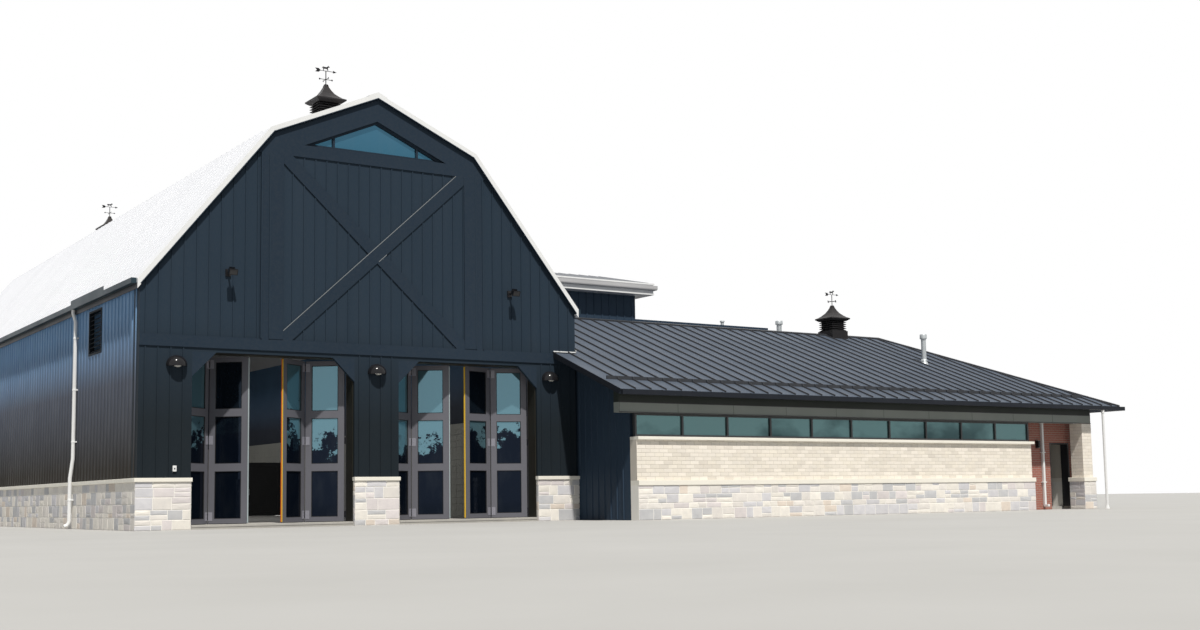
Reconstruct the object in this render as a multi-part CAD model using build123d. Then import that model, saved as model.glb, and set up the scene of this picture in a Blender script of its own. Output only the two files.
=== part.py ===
"""Two-bay fire station: a gambrel-roofed vehicle hall with folding doors and a long hipped wing beside it.

Millimetres, +Z up, the ground at Z = 0. The front faces -Y. The origin is on the ground, on the hall's
centre line, halfway along the hall. The wing stands on the +X side.
"""
from build123d import *
from math import atan2, cos, degrees, hypot, radians, sin
import os

# Hall: outside of the walls, and the outer line of the gambrel roof
HALL_WIDTH = 12380
HALL_LENGTH = 29700
ROOF_SIDE_OVERHANG = 80
EAVE_HEIGHT = 6000
KNEE_OUT = 2965
KNEE_HEIGHT = 10130
RIDGE_HEIGHT = 11430
ROOF_THICKNESS = 150
RAKE_OVERHANG = 100
RAKE_THICKNESS = 40
RIDGE_CAP_HALF = 260
RIDGE_CAP_THICKNESS = 25
WALL_THICKNESS = 300
SEAT_GAP = 0.3
FLOOR_THICKNESS = 100

# Stone base and its cap, which run round the hall
STONE_HEIGHT = 1150
STONE_PROUD = 40
CAP_THICKNESS = 90
CAP_PROUD = 80

# Vehicle bays, their steel frames and their folding doors
BAY_WIDTH = 4265
BAY_HEAD = 4306
CENTRE_PIER = 1260
FRONT_DEPTH = 450
BAY_CORNER = 600
BAY_CORNER_DEPTH = 90
JAMB_WIDTH = 120
JAMB_DEPTH = 100
LEAF_WIDTH = 1045
LEAF_THICKNESS = 60
LEAF_TOP_GAP = 15
LEAF_FOOT_GAP = 15
LEAF_STILE = 160
LEAF_TOP_RAIL = 120
LEAF_MID_RAIL = 190
LEAF_BOTTOM_RAIL = 120
DOOR_GLASS = 12
HINGE_RADIUS = 14
HINGE_SIDES = 12
HINGE_HEIGHT = 170
HINGE_CLEARANCE = 0.3
LEFT_BAY_ANGLES = (42, 36)
RIGHT_BAY_ANGLES = (34.4, 19.4)

# Boards on the gables, and the window under the ridge
TRIM_PROUD = 35
BAND_BOTTOM = 4410
BAND_HEIGHT = 290
BEAM_HEIGHT = 318
PANEL_HALF = 2600
PANEL_BOARD = 600
BRACE_WIDTH = 330
WINDOW_DROP = 760
WINDOW_REACH = 2200
WINDOW_RISE = 897
WINDOW_FRAME = 60
WINDOW_SETBACK = 40
WINDOW_FRAME_DEPTH = 100
WINDOW_GLASS = 12
MULLION_SHARE = 0.59

# Rain gutters and pipes
GUTTER_SIZE = 130
GUTTER_RISE = 20
GUTTER_WALL = 4
GUTTER_WING_GAP = 680
PIPE_RADIUS = 55
PIPE_BACK = 5620
HOOD_START = 2410
HOOD_END = 5650
HOOD_HEIGHT = 110

# Side louvre and the wall lamps
LOUVRE_START = 3270
LOUVRE_END = 4480
LOUVRE_LOW = 4530
LOUVRE_HIGH = 5700
LOUVRE_SLATS = 9
LAMP_RADIUS = 255
LAMP_SHELL = 14
LAMP_HEIGHT = 3940
LAMP_STEPS = 4
FLOOD_OUT = 4030
FLOOD_HEIGHT = 6300
PORCH_LAMP_X = 23200
PORCH_LAMP_HEIGHT = 2190

# Ridge cupolas: square louvred boxes with a swept roof and a wind vane
CUPOLA_SIDE = 700
CUPOLA_CORE = 540
CUPOLA_ROOF_SIDE = 900
CUPOLA_SKIRT_SIDE = 760
CUPOLA_SKIRT = 150
CUPOLA_BODY = 370
CUPOLA_COVE = 70
CUPOLA_FASCIA = 35
CUPOLA_ROOF_RISE = 590
CUPOLA_SLATS = 5
CUPOLA_SWEEP = ((0.15, 0.8), (0.27, 0.62), (0.45, 0.41), (0.64, 0.27), (0.82, 0.165), (1, 0.1))
FRONT_CUPOLA_BACK = 3410
REAR_CUPOLA_BACK = 25790
WING_CUPOLA_X = 20200
MAST_RADIUS = 14
MAST_HEIGHT = 270
SPINDLE_RADIUS = 8
SPINDLE_HEIGHT = 110
SPINDLE_CLEARANCE = 0.3
ARM_LEVEL = 150
ARM_REACH = 190
ARM_SIDE = 14
ARM_TIP = 44
VANE_THICKNESS = 10
VANE_HALF = 275
FIN_HALF = 55
FIGURE_LENGTH = 240

# Wing: depths are measured back from the hall's front face, and forward of it where the name says front
WING_RAKE_X = 5450
WING_EAVE_FRONT = 3307
WING_EAVE_HEIGHT = 3474
WING_SLOPE = 0.384
WING_RIDGE_BACK = 4268
WING_RIDGE_END = 22477
WING_CORNER_X = 26300
WING_ROOF_THICKNESS = 140
WING_WALL_FRONT = 2850
WING_WALL_END = 25170
WING_FRONT_END = 22180
WING_STONE_HEIGHT = 930
WING_CAP_THICKNESS = 130
WING_STONE_PROUD = 60
WING_CAP_PROUD = 90
SILL_HEIGHT = 2160
SILL_THICKNESS = 80
SILL_PROUD = 90
WINDOW_BAND_HEAD = 2880
BAND_WINDOWS = 10
FRIEZE_DEPTH = 250
FRIEZE_PROUD = 100
COLUMN_SIDE = 480
PORCH_FRONT = 2250
DOORWAY_LEFT = 23850
DOORWAY_WIDTH = 1000
DOORWAY_HEIGHT = 2150
DOORWAY_FRAME = 50
PORCH_PIPE_X = 23440
EAVE_PIPE_X = 25300
WING_PIPE = 90
SIDE_DOOR_BACK = 21600
SIDE_DOOR_WIDTH = 1500
GUARD_UP = 850
GUARD_HEIGHT = 90

# Raised block behind the wing's ridge, the low screen beside it and the vent pipes
BLOCK_FRONT = 5270
BLOCK_END = 12070
BLOCK_DEPTH = 5200
BLOCK_WALL = 200
BLOCK_WALL_TOP = 7440
BLOCK_OVERHANG = 450
BLOCK_FASCIA = 380
BLOCK_ROOF_RISE = 650
SCREEN_END = 17960
SCREEN_TOP = 6650
SCREEN_THICKNESS = 100
SCREEN_GAP = 5
FLUE_X = 18780
FLUE_TOP = 6990
FLUE_RADIUS = 95
STACK_X = 21400
STACK_BACK = 980
STACK_TOP = 6150
STACK_RADIUS = 85
STUB_X = 16110
STUB_TOP = 6850
STUB_RADIUS = 60
FLUE_BACK = 5600

FRONT = -HALL_LENGTH / 2
REAR = HALL_LENGTH / 2
HALF = HALL_WIDTH / 2
CAP_TOP = STONE_HEIGHT + CAP_THICKNESS
WING_CAP_TOP = WING_STONE_HEIGHT + WING_CAP_THICKNESS
BAY_IN = CENTRE_PIER / 2
BAY_OUT = BAY_IN + BAY_WIDTH
ROOF_EDGE = HALF + ROOF_SIDE_OVERHANG
WINDOW_SILL = RIDGE_HEIGHT - WINDOW_DROP - WINDOW_RISE
BEAM_BOTTOM = WINDOW_SILL - BEAM_HEIGHT
SILL_TOP = SILL_HEIGHT + SILL_THICKNESS


def box(x0, x1, y0, y1, z0, z1):
    """A block between two corners."""
    return Pos((x0 + x1) / 2, (y0 + y1) / 2, (z0 + z1) / 2) * Box(x1 - x0, y1 - y0, z1 - z0)


def prism_y(points, y0, y1):
    """An outline in X and Z, carried from y0 to y1."""
    outline = make_face(Polyline(*[(x, y0, z) for x, z in points], close=True))
    return extrude(outline, amount=y1 - y0, dir=(0, 1, 0))


def prism_x(points, x0, x1):
    """An outline in Y and Z, carried from x0 to x1."""
    outline = make_face(Polyline(*[(x0, y, z) for y, z in points], close=True))
    return extrude(outline, amount=x1 - x0, dir=(1, 0, 0))


def plate(points, thickness):
    """A roof plate of one thickness measured straight down, whose top passes through the points."""
    top = make_face(Polyline(*points, close=True))
    return extrude(top, amount=thickness, dir=(0, 0, -1))


def across(points):
    """The same outline on both sides of the centre line, from its right foot over to its left foot."""
    return points + [(-x, z) for x, z in reversed(points) if x > 0]


def save(name, *groups):
    """Write one node from the solids in the groups."""
    pieces = []
    for group in groups:
        for item in group if isinstance(group, (list, tuple)) else [group]:
            pieces.extend(item.solids())
    shape = pieces[0] if len(pieces) == 1 else Compound(children=pieces)
    export_step(shape, f"parts/{name}.step")


# Lines of the gambrel roof
LOWER_PITCH = (KNEE_HEIGHT - EAVE_HEIGHT) / (ROOF_EDGE - KNEE_OUT)
UPPER_PITCH = (RIDGE_HEIGHT - KNEE_HEIGHT) / KNEE_OUT
MULLION_OUT = MULLION_SHARE * min(WINDOW_RISE / UPPER_PITCH, WINDOW_REACH)


def over_roof(x):
    """Height of the hall roof's outer face at a distance from the centre line."""
    if abs(x) <= KNEE_OUT:
        return RIDGE_HEIGHT - abs(x) * UPPER_PITCH
    return KNEE_HEIGHT - (abs(x) - KNEE_OUT) * LOWER_PITCH


def roof_lines():
    """The right half of the roof in section: its outer points and the points straight under them."""
    lower = ROOF_THICKNESS * hypot(1, LOWER_PITCH)
    upper = ROOF_THICKNESS * hypot(1, UPPER_PITCH)
    shift = (lower - upper) / (LOWER_PITCH - UPPER_PITCH)
    knee = (KNEE_OUT - shift, KNEE_HEIGHT + shift * LOWER_PITCH - lower)
    outer = [(ROOF_EDGE, EAVE_HEIGHT), (KNEE_OUT, KNEE_HEIGHT), (0, RIDGE_HEIGHT)]
    return outer, [(ROOF_EDGE, EAVE_HEIGHT - lower), knee, (0, RIDGE_HEIGHT - upper)]


OUTER, INNER = roof_lines()


def under_roof(x):
    """Height of the hall roof's underside at a distance from the centre line."""
    knee = INNER[1]
    if abs(x) <= knee[0]:
        return INNER[2][1] - abs(x) * UPPER_PITCH
    return knee[1] - (abs(x) - knee[0]) * LOWER_PITCH


# Lines of the wing roof
wing_front = FRONT - WING_EAVE_FRONT
wing_ridge = FRONT + WING_RIDGE_BACK
wing_rear = 2 * wing_ridge - wing_front
wing_ridge_height = WING_EAVE_HEIGHT + (wing_ridge - wing_front) * WING_SLOPE
wing_wall_front = FRONT - WING_WALL_FRONT
wing_wall_rear = wing_rear - (wing_wall_front - wing_front)
wing_left = HALF + CAP_PROUD
frieze_front = wing_wall_front - FRIEZE_PROUD


def wing_top(y):
    """Height of the wing's front or rear roof slope at a place along Y."""
    return wing_ridge_height - abs(y - wing_ridge) * WING_SLOPE


def wing_slope_points(start, eave):
    return [(start, eave, WING_EAVE_HEIGHT), (WING_CORNER_X, eave, WING_EAVE_HEIGHT),
            (WING_RIDGE_END, wing_ridge, wing_ridge_height), (start, wing_ridge, wing_ridge_height)]


def wing_hip_points():
    return [(WING_CORNER_X, wing_front, WING_EAVE_HEIGHT), (WING_CORNER_X, wing_rear, WING_EAVE_HEIGHT),
            (WING_RIDGE_END, wing_ridge, wing_ridge_height)]


def hall_shape(gap):
    """The hall's outside, grown by a gap, to cut what is built against it."""
    wall, edge = HALF + gap, ROOF_EDGE + gap
    half = [(wall, 0), (wall, under_roof(wall) - 2 * gap), (edge, under_roof(edge) - 2 * gap),
            (edge, EAVE_HEIGHT), (KNEE_OUT + gap, KNEE_HEIGHT), (0, RIDGE_HEIGHT + gap)]
    reach = RAKE_OVERHANG + gap
    return prism_y(across(half), FRONT - reach, REAR + reach)


def wing_shape(drop=0):
    """The space under the wing's roof surface, or under its plates, as three prisms."""
    depth, start = 2 * WING_EAVE_HEIGHT, 0
    outlines = (wing_slope_points(start, wing_front), wing_slope_points(start, wing_rear), wing_hip_points())
    return [Pos(0, 0, -drop) * plate(points, depth) for points in outlines]


def wing_sky():
    """The space above the underside of the wing's roof plates."""
    height = RIDGE_HEIGHT
    outlines = (wing_slope_points(0, wing_front), wing_slope_points(0, wing_rear), wing_hip_points())
    return [Pos(0, 0, height - WING_ROOF_THICKNESS) * plate(points, height) for points in outlines]


def under_wing_roof(solid):
    """Trim a wall or a beam so that its top seats under the wing's roof plates."""
    for part in wing_sky():
        solid = solid - part
    return solid


def over_wing_roof(solid):
    """Trim a piece so that its foot stands on the wing's roof."""
    for part in wing_shape():
        solid = solid - part
    return solid


# Hall: floor, walls and stone
def pier_spans():
    """Where the three front piers stand along X."""
    return [(-HALF, -BAY_OUT), (-BAY_IN, BAY_IN), (BAY_OUT, HALF)]


def hall_floor():
    inside = HALF - WALL_THICKNESS
    slabs = [box(-inside, inside, FRONT + FRONT_DEPTH, REAR - WALL_THICKNESS, 0, FLOOR_THICKNESS)]
    for left in (-BAY_OUT, BAY_IN):
        slabs.append(box(left, left + BAY_WIDTH, FRONT, FRONT + FRONT_DEPTH, 0, FLOOR_THICKNESS))
    return slabs


def gable_outline(bottom):
    """A gable wall above a height, tucked under the roof."""
    return across([(HALF, bottom), (HALF, under_roof(HALF)), INNER[1], INNER[2]])


def window_shape(y0, y1, inset=0):
    """The gable window's space, or the same set in all round: sides parallel to the roof, within a reach."""
    slant = inset * hypot(1, UPPER_PITCH)
    foot, top = WINDOW_SILL + inset, WINDOW_SILL + WINDOW_RISE - slant
    half = (top - foot) / UPPER_PITCH
    reach = WINDOW_REACH - inset
    return prism_y([(half, foot), (0, top), (-half, foot)], y0, y1) & box(-reach, reach, y0, y1, foot, top + 1)


def gable_wall(y0, y1, bottom):
    return prism_y(gable_outline(bottom), y0, y1) - window_shape(y0 - 1, y1 + 1)


def front_piers():
    return [box(a, b, FRONT, FRONT + FRONT_DEPTH, CAP_TOP, BAY_HEAD) for a, b in pier_spans()]


def front_stone(proud, low, high, over_jamb):
    """Stone or cap pieces under the three piers, proud at the front and round the hall's corners."""
    pieces = []
    for a, b in pier_spans():
        left = a - proud if a == -HALF else a - over_jamb
        right = b + proud if b == HALF else b + over_jamb
        pieces.append(box(left, right, FRONT - proud, FRONT + FRONT_DEPTH, low, high))
    return pieces


def round_doorway(wall, along_y, start, width):
    """Split a wall at a doorway into the pieces beside it and the piece over it."""
    far = 2 * HALL_LENGTH
    head = FLOOR_THICKNESS + DOORWAY_HEIGHT
    spans = ((-far, start, -far), (start, start + width, head), (start + width, far, -far))
    pieces = []
    for a, b, low in spans:
        room = box(-far, far, a, b, low, far) if along_y else box(a, b, -far, far, low, far)
        pieces += (wall & room).solids()
    return pieces


def round_side_door(wall):
    """Split a stretch of the right wall at its doorway."""
    return round_doorway(wall, True, FRONT + SIDE_DOOR_BACK, SIDE_DOOR_WIDTH)


def side_band(sign, low, high, proud):
    """A stretch of side wall of one thickness, from behind the front piers to the rear wall."""
    x0, x1 = sorted((sign * (HALF - WALL_THICKNESS), sign * (HALF + proud)))
    return box(x0, x1, FRONT + FRONT_DEPTH, REAR - WALL_THICKNESS, low, high)


def side_wall(sign):
    """A long wall above the stone, its top bevelled under the roof."""
    outer, inner = HALF, HALF - WALL_THICKNESS
    outline = [(sign * outer, CAP_TOP), (sign * outer, under_roof(outer)),
               (sign * inner, under_roof(inner)), (sign * inner, CAP_TOP)]
    return prism_y(outline, FRONT + FRONT_DEPTH, REAR - WALL_THICKNESS)


def louvre_cut():
    return box(-HALF - 1, -HALF + WALL_THICKNESS + 1, FRONT + LOUVRE_START, FRONT + LOUVRE_END,
               LOUVRE_LOW, LOUVRE_HIGH)


def side_louvre():
    """A frame in the left wall with sloping slats let into its sides."""
    y0, y1 = FRONT + LOUVRE_START, FRONT + LOUVRE_END
    x0, x1 = -HALF - 20, -HALF + 110
    rim = 50
    frame = box(x0, x1, y0, y1, LOUVRE_LOW, LOUVRE_HIGH)
    frame -= box(x0 - 1, x1 + 1, y0 + rim, y1 - rim, LOUVRE_LOW + rim, LOUVRE_HIGH - rim)
    pitch = (LOUVRE_HIGH - LOUVRE_LOW - 2 * rim) / LOUVRE_SLATS
    for i in range(LOUVRE_SLATS):
        z = LOUVRE_LOW + rim + (i + 0.5) * pitch
        slat = Pos((x0 + x1) / 2, (y0 + y1) / 2, z) * Rot(0, -35, 0) * Box(110, y1 - y0 - 2 * rim + 2, 8)
        frame += slat
    return frame


# Hall: roof
def roof_slope(lower, sign, y0=FRONT - RAKE_OVERHANG + RAKE_THICKNESS, y1=REAR + RAKE_OVERHANG - RAKE_THICKNESS):
    """One of the four slopes of the gambrel, or a stretch of one."""
    i = 0 if lower else 1
    outline = [OUTER[i], OUTER[i + 1], INNER[i + 1], INNER[i]]
    return prism_y([(sign * x, z) for x, z in outline], y0, y1)


def ridge_cap_outline():
    edge = RIDGE_CAP_HALF
    top = [(edge, over_roof(edge)), (edge, over_roof(edge) + RIDGE_CAP_THICKNESS),
           (0, RIDGE_HEIGHT + RIDGE_CAP_THICKNESS)]
    return across(top) + [(0, RIDGE_HEIGHT)]


def ridge_cap():
    return prism_y(ridge_cap_outline(), FRONT - RAKE_OVERHANG, REAR + RAKE_OVERHANG)


def ridge_seat():
    """The top of the roof with its cap, to cut the foot of a cupola."""
    edge = RIDGE_CAP_HALF
    half = [(KNEE_OUT, 0), (KNEE_OUT, KNEE_HEIGHT), (edge, over_roof(edge)),
            (edge, over_roof(edge) + RIDGE_CAP_THICKNESS), (0, RIDGE_HEIGHT + RIDGE_CAP_THICKNESS)]
    return prism_y(across(half), FRONT, REAR)


def rake_boards(y0, y1):
    """The white boards that end the roof slopes at a gable."""
    return [roof_slope(lower, sign, y0, y1) for lower in (True, False) for sign in (-1, 1)]


def gutter_trough(length, wall_side):
    """A square gutter along +Y from the origin, open at the top, on the given side of the plane X = 0."""
    size, wall = GUTTER_SIZE, GUTTER_WALL
    inner = box(wall, size - wall, wall, length - wall, wall - size, 1)
    trough = box(0, size, 0, length, -size, 0) - inner
    return trough if wall_side > 0 else mirror(trough, Plane.YZ)


# Front: trim, brace, window and lamps
def gable_boards(y0, y1):
    """Flat boards on a gable: band, panel uprights and the crown of wide boards round the window."""
    band_top = BAND_BOTTOM + BAND_HEIGHT
    boards = [box(-HALF, HALF, y0, y1, BAND_BOTTOM, band_top)]
    for x in (-PANEL_HALF - PANEL_BOARD, PANEL_HALF):
        boards.append(box(x, x + PANEL_BOARD, y0, y1, band_top, BEAM_BOTTOM))
    gable = prism_y(gable_outline(BAND_BOTTOM), y0, y1)
    crown = gable & box(-HALF, HALF, y0, y1, BEAM_BOTTOM, RIDGE_HEIGHT)
    boards.append(crown - window_shape(y0 - 1, y1 + 1))
    return boards


def cross_brace(y0, y1):
    """Two flat boards crossing in the panel, halved where they cross so that both lie flat."""
    low, high = BAND_BOTTOM + BAND_HEIGHT, BEAM_BOTTOM
    run, rise = 2 * PANEL_HALF, high - low
    angle = degrees(atan2(rise, run))
    length = 2 * hypot(run, rise)
    panel = box(-PANEL_HALF, PANEL_HALF, y0, y1, low, high)

    def board(turn):
        middle = Pos(0, (y0 + y1) / 2, (low + high) / 2)
        return middle * Rot(0, turn, 0) * Box(length, y1 - y0, BRACE_WIDTH)

    through = board(angle) & panel
    halves = (board(-angle) & panel) - board(angle)
    return [through, halves]


def bay_corner_boards():
    """The dark boards that cut the bays' top corners."""
    corners = []
    for left in (-BAY_OUT, BAY_IN):
        for x, sign in ((left, 1), (left + BAY_WIDTH, -1)):
            outline = [(x, BAY_HEAD), (x + sign * BAY_CORNER, BAY_HEAD), (x, BAY_HEAD - BAY_CORNER)]
            corners.append(prism_y(outline, FRONT, FRONT + BAY_CORNER_DEPTH))
    return corners


def gable_window(outer, inner):
    """Frame and glass in a gable, from its outer face towards its inner one."""
    step = 1 if inner > outer else -1
    y0, y1 = sorted((outer + step * WINDOW_SETBACK, outer + step * (WINDOW_SETBACK + WINDOW_FRAME_DEPTH)))
    ring = window_shape(y0, y1) - window_shape(y0 - 1, y1 + 1, WINDOW_FRAME)
    for x in (-MULLION_OUT, MULLION_OUT):
        bar = box(x - WINDOW_FRAME / 2, x + WINDOW_FRAME / 2, y0, y1, WINDOW_SILL, WINDOW_SILL + WINDOW_RISE)
        ring += bar & window_shape(y0, y1, WINDOW_FRAME / 2)
    middle = (y0 + y1) / 2
    pane = window_shape(middle - WINDOW_GLASS / 2, middle + WINDOW_GLASS / 2, WINDOW_FRAME)
    return ring, pane - ring


def quarter_dome(radius):
    """A quarter of a ball of flat rings: flat underneath and flat against the wall."""
    steps = [radians(90 * i / LAMP_STEPS) for i in range(LAMP_STEPS + 1)]
    rings = [(radius * cos(turn), radius * sin(turn)) for turn in steps]
    outline = make_face(Polyline(*[(r, 0, z) for r, z in rings[:-1]], (0, 0, radius), (0, 0, 0), close=True))
    return Rot(0, 0, 180) * revolve(outline, Axis.Z, 180)


def dome_lamps():
    """Half-round shades on the piers, open below, each with a short lamp inside."""
    lamps = []
    for x in (-(HALF + BAY_OUT) / 2 + 220, 0, (HALF + BAY_OUT) / 2 - 220):
        shade = quarter_dome(LAMP_RADIUS) - Pos(0, -LAMP_SHELL, 0) * quarter_dome(LAMP_RADIUS - 2 * LAMP_SHELL)
        shade += Pos(0, -LAMP_RADIUS / 2, LAMP_RADIUS / 3) * Box(90, LAMP_RADIUS, 90)
        lamps.append(Pos(x, FRONT, LAMP_HEIGHT) * shade)
    return lamps


def porch_lamp():
    """A hooded box on the porch's brick wall."""
    x, y, z = PORCH_LAMP_X, FRONT - PORCH_FRONT, PORCH_LAMP_HEIGHT
    hood = box(x - 170, x + 170, y - 240, y, z + 90, z + 140)
    return hood + box(x - 110, x + 110, y - 150, y, z - 140, z + 90)


def floodlights():
    """A wall plate, a short arm and a lamp box, one each side of the gable."""
    lights = []
    for x in (-FLOOD_OUT, FLOOD_OUT):
        light = box(x - 70, x + 70, FRONT - 30, FRONT, FLOOD_HEIGHT - 90, FLOOD_HEIGHT + 90)
        light += box(x - 20, x + 20, FRONT - 260, FRONT - 30, FLOOD_HEIGHT - 20, FLOOD_HEIGHT + 20)
        light += Pos(x, FRONT - 330, FLOOD_HEIGHT) * Rot(25, 0, 0) * Box(220, 170, 150)
        lights.append(light)
    return lights


# Vehicle bays: steel frames, leaves, glass and hinges
DOOR_LINE = FRONT + FRONT_DEPTH + JAMB_DEPTH
KNUCKLE = HINGE_RADIUS + HINGE_CLEARANCE
LEAF_FOOT = FLOOR_THICKNESS + LEAF_FOOT_GAP
LEAF_HEIGHT = BAY_HEAD - LEAF_TOP_GAP - LEAF_FOOT
HINGE_SHARES = (0.042, 0.5, 0.96)


def bay_frame(left):
    """Steel posts and head on the wall's inner face, flush with the opening."""
    y0, y1 = FRONT + FRONT_DEPTH, FRONT + FRONT_DEPTH + JAMB_DEPTH
    right = left + BAY_WIDTH
    return [box(left - JAMB_WIDTH, left, y0, y1, FLOOR_THICKNESS, BAY_HEAD),
            box(right, right + JAMB_WIDTH, y0, y1, FLOOR_THICKNESS, BAY_HEAD),
            box(left - JAMB_WIDTH, right + JAMB_WIDTH, y0, y1, BAY_HEAD, BAY_HEAD + JAMB_WIDTH)]


def lite_levels():
    rails = LEAF_TOP_RAIL + LEAF_BOTTOM_RAIL + 2 * LEAF_MID_RAIL
    lite = (LEAF_HEIGHT - rails) / 3
    return [(LEAF_BOTTOM_RAIL + i * (lite + LEAF_MID_RAIL), lite) for i in range(3)]


def leaf(outside):
    """A leaf along +X from its hinge axis, thick towards -Y or +Y, with three openings."""
    y0, y1 = (0, LEAF_THICKNESS) if outside else (-LEAF_THICKNESS, 0)
    frame = box(KNUCKLE, LEAF_WIDTH - KNUCKLE, y0, y1, 0, LEAF_HEIGHT)
    panes = []
    for low, lite in lite_levels():
        x0, x1 = KNUCKLE + LEAF_STILE, LEAF_WIDTH - KNUCKLE - LEAF_STILE
        frame -= box(x0, x1, y0 - 1, y1 + 1, low, low + lite)
        middle = (y0 + y1) / 2
        panes.append(box(x0, x1, middle - DOOR_GLASS / 2, middle + DOOR_GLASS / 2, low, low + lite))
    return frame, panes


def bay_doors(left, folds):
    """A bay's four leaves, folded inwards in two pairs, with their glass and hinge barrels."""
    frames, glass, hinges = [], [], []
    for side, fold in zip((1, -1), folds):
        jamb = left + KNUCKLE if side > 0 else left + BAY_WIDTH - KNUCKLE
        turn = radians(fold)
        joint_x = LEAF_WIDTH * cos(turn) + LEAF_THICKNESS * sin(turn)
        joint_y = LEAF_WIDTH * sin(turn) - LEAF_THICKNESS * cos(turn)
        near, near_glass = leaf(outside=False)
        far, far_glass = leaf(outside=True)
        near_place = Pos(0, 0, LEAF_FOOT) * Rot(0, 0, fold)
        far_place = Pos(joint_x, joint_y, LEAF_FOOT) * Rot(0, 0, -fold)
        pieces = [near_place * near, far_place * far]
        panes = [near_place * p for p in near_glass] + [far_place * p for p in far_glass]
        barrel = extrude(RegularPolygon(HINGE_RADIUS, HINGE_SIDES), amount=HINGE_HEIGHT)
        barrels = [Pos(x, y, LEAF_FOOT + share * LEAF_HEIGHT - HINGE_HEIGHT / 2) * barrel
                   for x, y in ((0, 0), (joint_x, joint_y)) for share in HINGE_SHARES]
        if side < 0:
            pieces, panes, barrels = [[mirror(s, Plane.YZ) for s in group] for group in (pieces, panes, barrels)]
        place = Pos(jamb, DOOR_LINE, 0)
        frames += [place * s for s in pieces]
        glass += [place * s for s in panes]
        hinges += [place * s for s in barrels]
    return frames, glass, hinges


# Cupolas and wind vanes
def square_turned(x, y, half_outline):
    """A shape whose every level is a square: one outline carried along Y and along X, and what both hold."""
    reach = max(r for r, z in half_outline) + 10
    outline = half_outline + [(-r, z) for r, z in reversed(half_outline) if r > 0]
    one_way = prism_y([(x + r, z) for r, z in outline], y - reach, y + reach)
    return one_way & prism_x([(y + r, z) for r, z in outline], x - reach, x + reach)


def cupola_body(x, y, base):
    """A skirt, a core and sloping slats that are mitred at the corners."""
    low = base + CUPOLA_SKIRT
    pitch = CUPOLA_BODY / CUPOLA_SLATS
    outer, core = CUPOLA_SIDE / 2, CUPOLA_CORE / 2
    outline = [(CUPOLA_SKIRT_SIDE / 2, base - 3 * CUPOLA_SKIRT), (CUPOLA_SKIRT_SIDE / 2, low)]
    for k in range(CUPOLA_SLATS):
        outline += [(core, low + k * pitch + pitch * 0.1), (outer, low + k * pitch + pitch * 0.15),
                    (outer, low + k * pitch + pitch * 0.3), (core, low + (k + 1) * pitch)]
    return square_turned(x, y, outline)


def cupola_roof(x, y, base):
    """A cove under the eave, a fascia, and four faces that sweep in towards a small flat top."""
    half = CUPOLA_ROOF_SIDE / 2
    outline = [(CUPOLA_CORE / 2, base), (CUPOLA_SIDE / 2, base), (half, base + CUPOLA_COVE),
               (half, base + CUPOLA_COVE + CUPOLA_FASCIA)]
    rise = CUPOLA_ROOF_RISE - CUPOLA_COVE
    outline += [(half * width, base + CUPOLA_COVE + rise * up) for up, width in CUPOLA_SWEEP]
    return square_turned(x, y, outline)


def vane_mast(x, y, top):
    """The fixed rod with four compass arms, and the thinner spindle that carries the vane."""
    rod = Pos(x, y, top + MAST_HEIGHT / 2) * Cylinder(MAST_RADIUS, MAST_HEIGHT)
    spindle = Pos(x, y, top + MAST_HEIGHT + SPINDLE_HEIGHT / 2) * Cylinder(SPINDLE_RADIUS, SPINDLE_HEIGHT)
    mast = rod + spindle
    for turn in (0, 90):
        place = Pos(x, y, top + ARM_LEVEL) * Rot(0, 0, turn)
        mast += place * Box(2 * ARM_REACH, ARM_SIDE, ARM_SIDE)
        for side in (-1, 1):
            mast += place * Pos(side * ARM_REACH, 0, 0) * Rot(0, 45, 0) * Box(ARM_TIP, ARM_SIDE / 2, ARM_TIP)
    return mast


def vane(x, y, top):
    """The turning part: a sleeve over the spindle, an arrow, and a plain trotting animal above it."""
    foot = top + MAST_HEIGHT + SPINDLE_CLEARANCE
    height = SPINDLE_HEIGHT + 2 * MAST_RADIUS
    sleeve = Pos(x, y, foot + height / 2) * Cylinder(MAST_RADIUS, height)
    level = foot + height - MAST_RADIUS / 2
    t = VANE_THICKNESS / 2
    reach, fin, bar = VANE_HALF, FIN_HALF, MAST_RADIUS / 2
    arrow = [(-reach - fin, level - fin), (-reach + fin, level - fin), (-reach + 2 * fin, level - bar),
             (reach - fin, level - bar), (reach - fin, level - fin * 0.7), (reach + fin, level),
             (reach - fin, level + fin * 0.7), (reach - fin, level + bar), (-reach + 2 * fin, level + bar),
             (-reach + fin, level + fin), (-reach - fin, level + fin), (-reach, level)]
    blade = prism_y([(x + a, b) for a, b in arrow], y - t, y + t)
    figure = [(u * FIGURE_LENGTH, v * FIGURE_LENGTH) for u, v in FIGURE_SHARES]
    blade += prism_y([(x + u, level + bar - 1 + v) for u, v in figure], y - t, y + t)
    bore_height = SPINDLE_HEIGHT + 2 * SPINDLE_CLEARANCE
    bore = Cylinder(SPINDLE_RADIUS + SPINDLE_CLEARANCE, bore_height)
    return sleeve + blade - Pos(x, y, foot + SPINDLE_HEIGHT / 2) * bore


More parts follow.
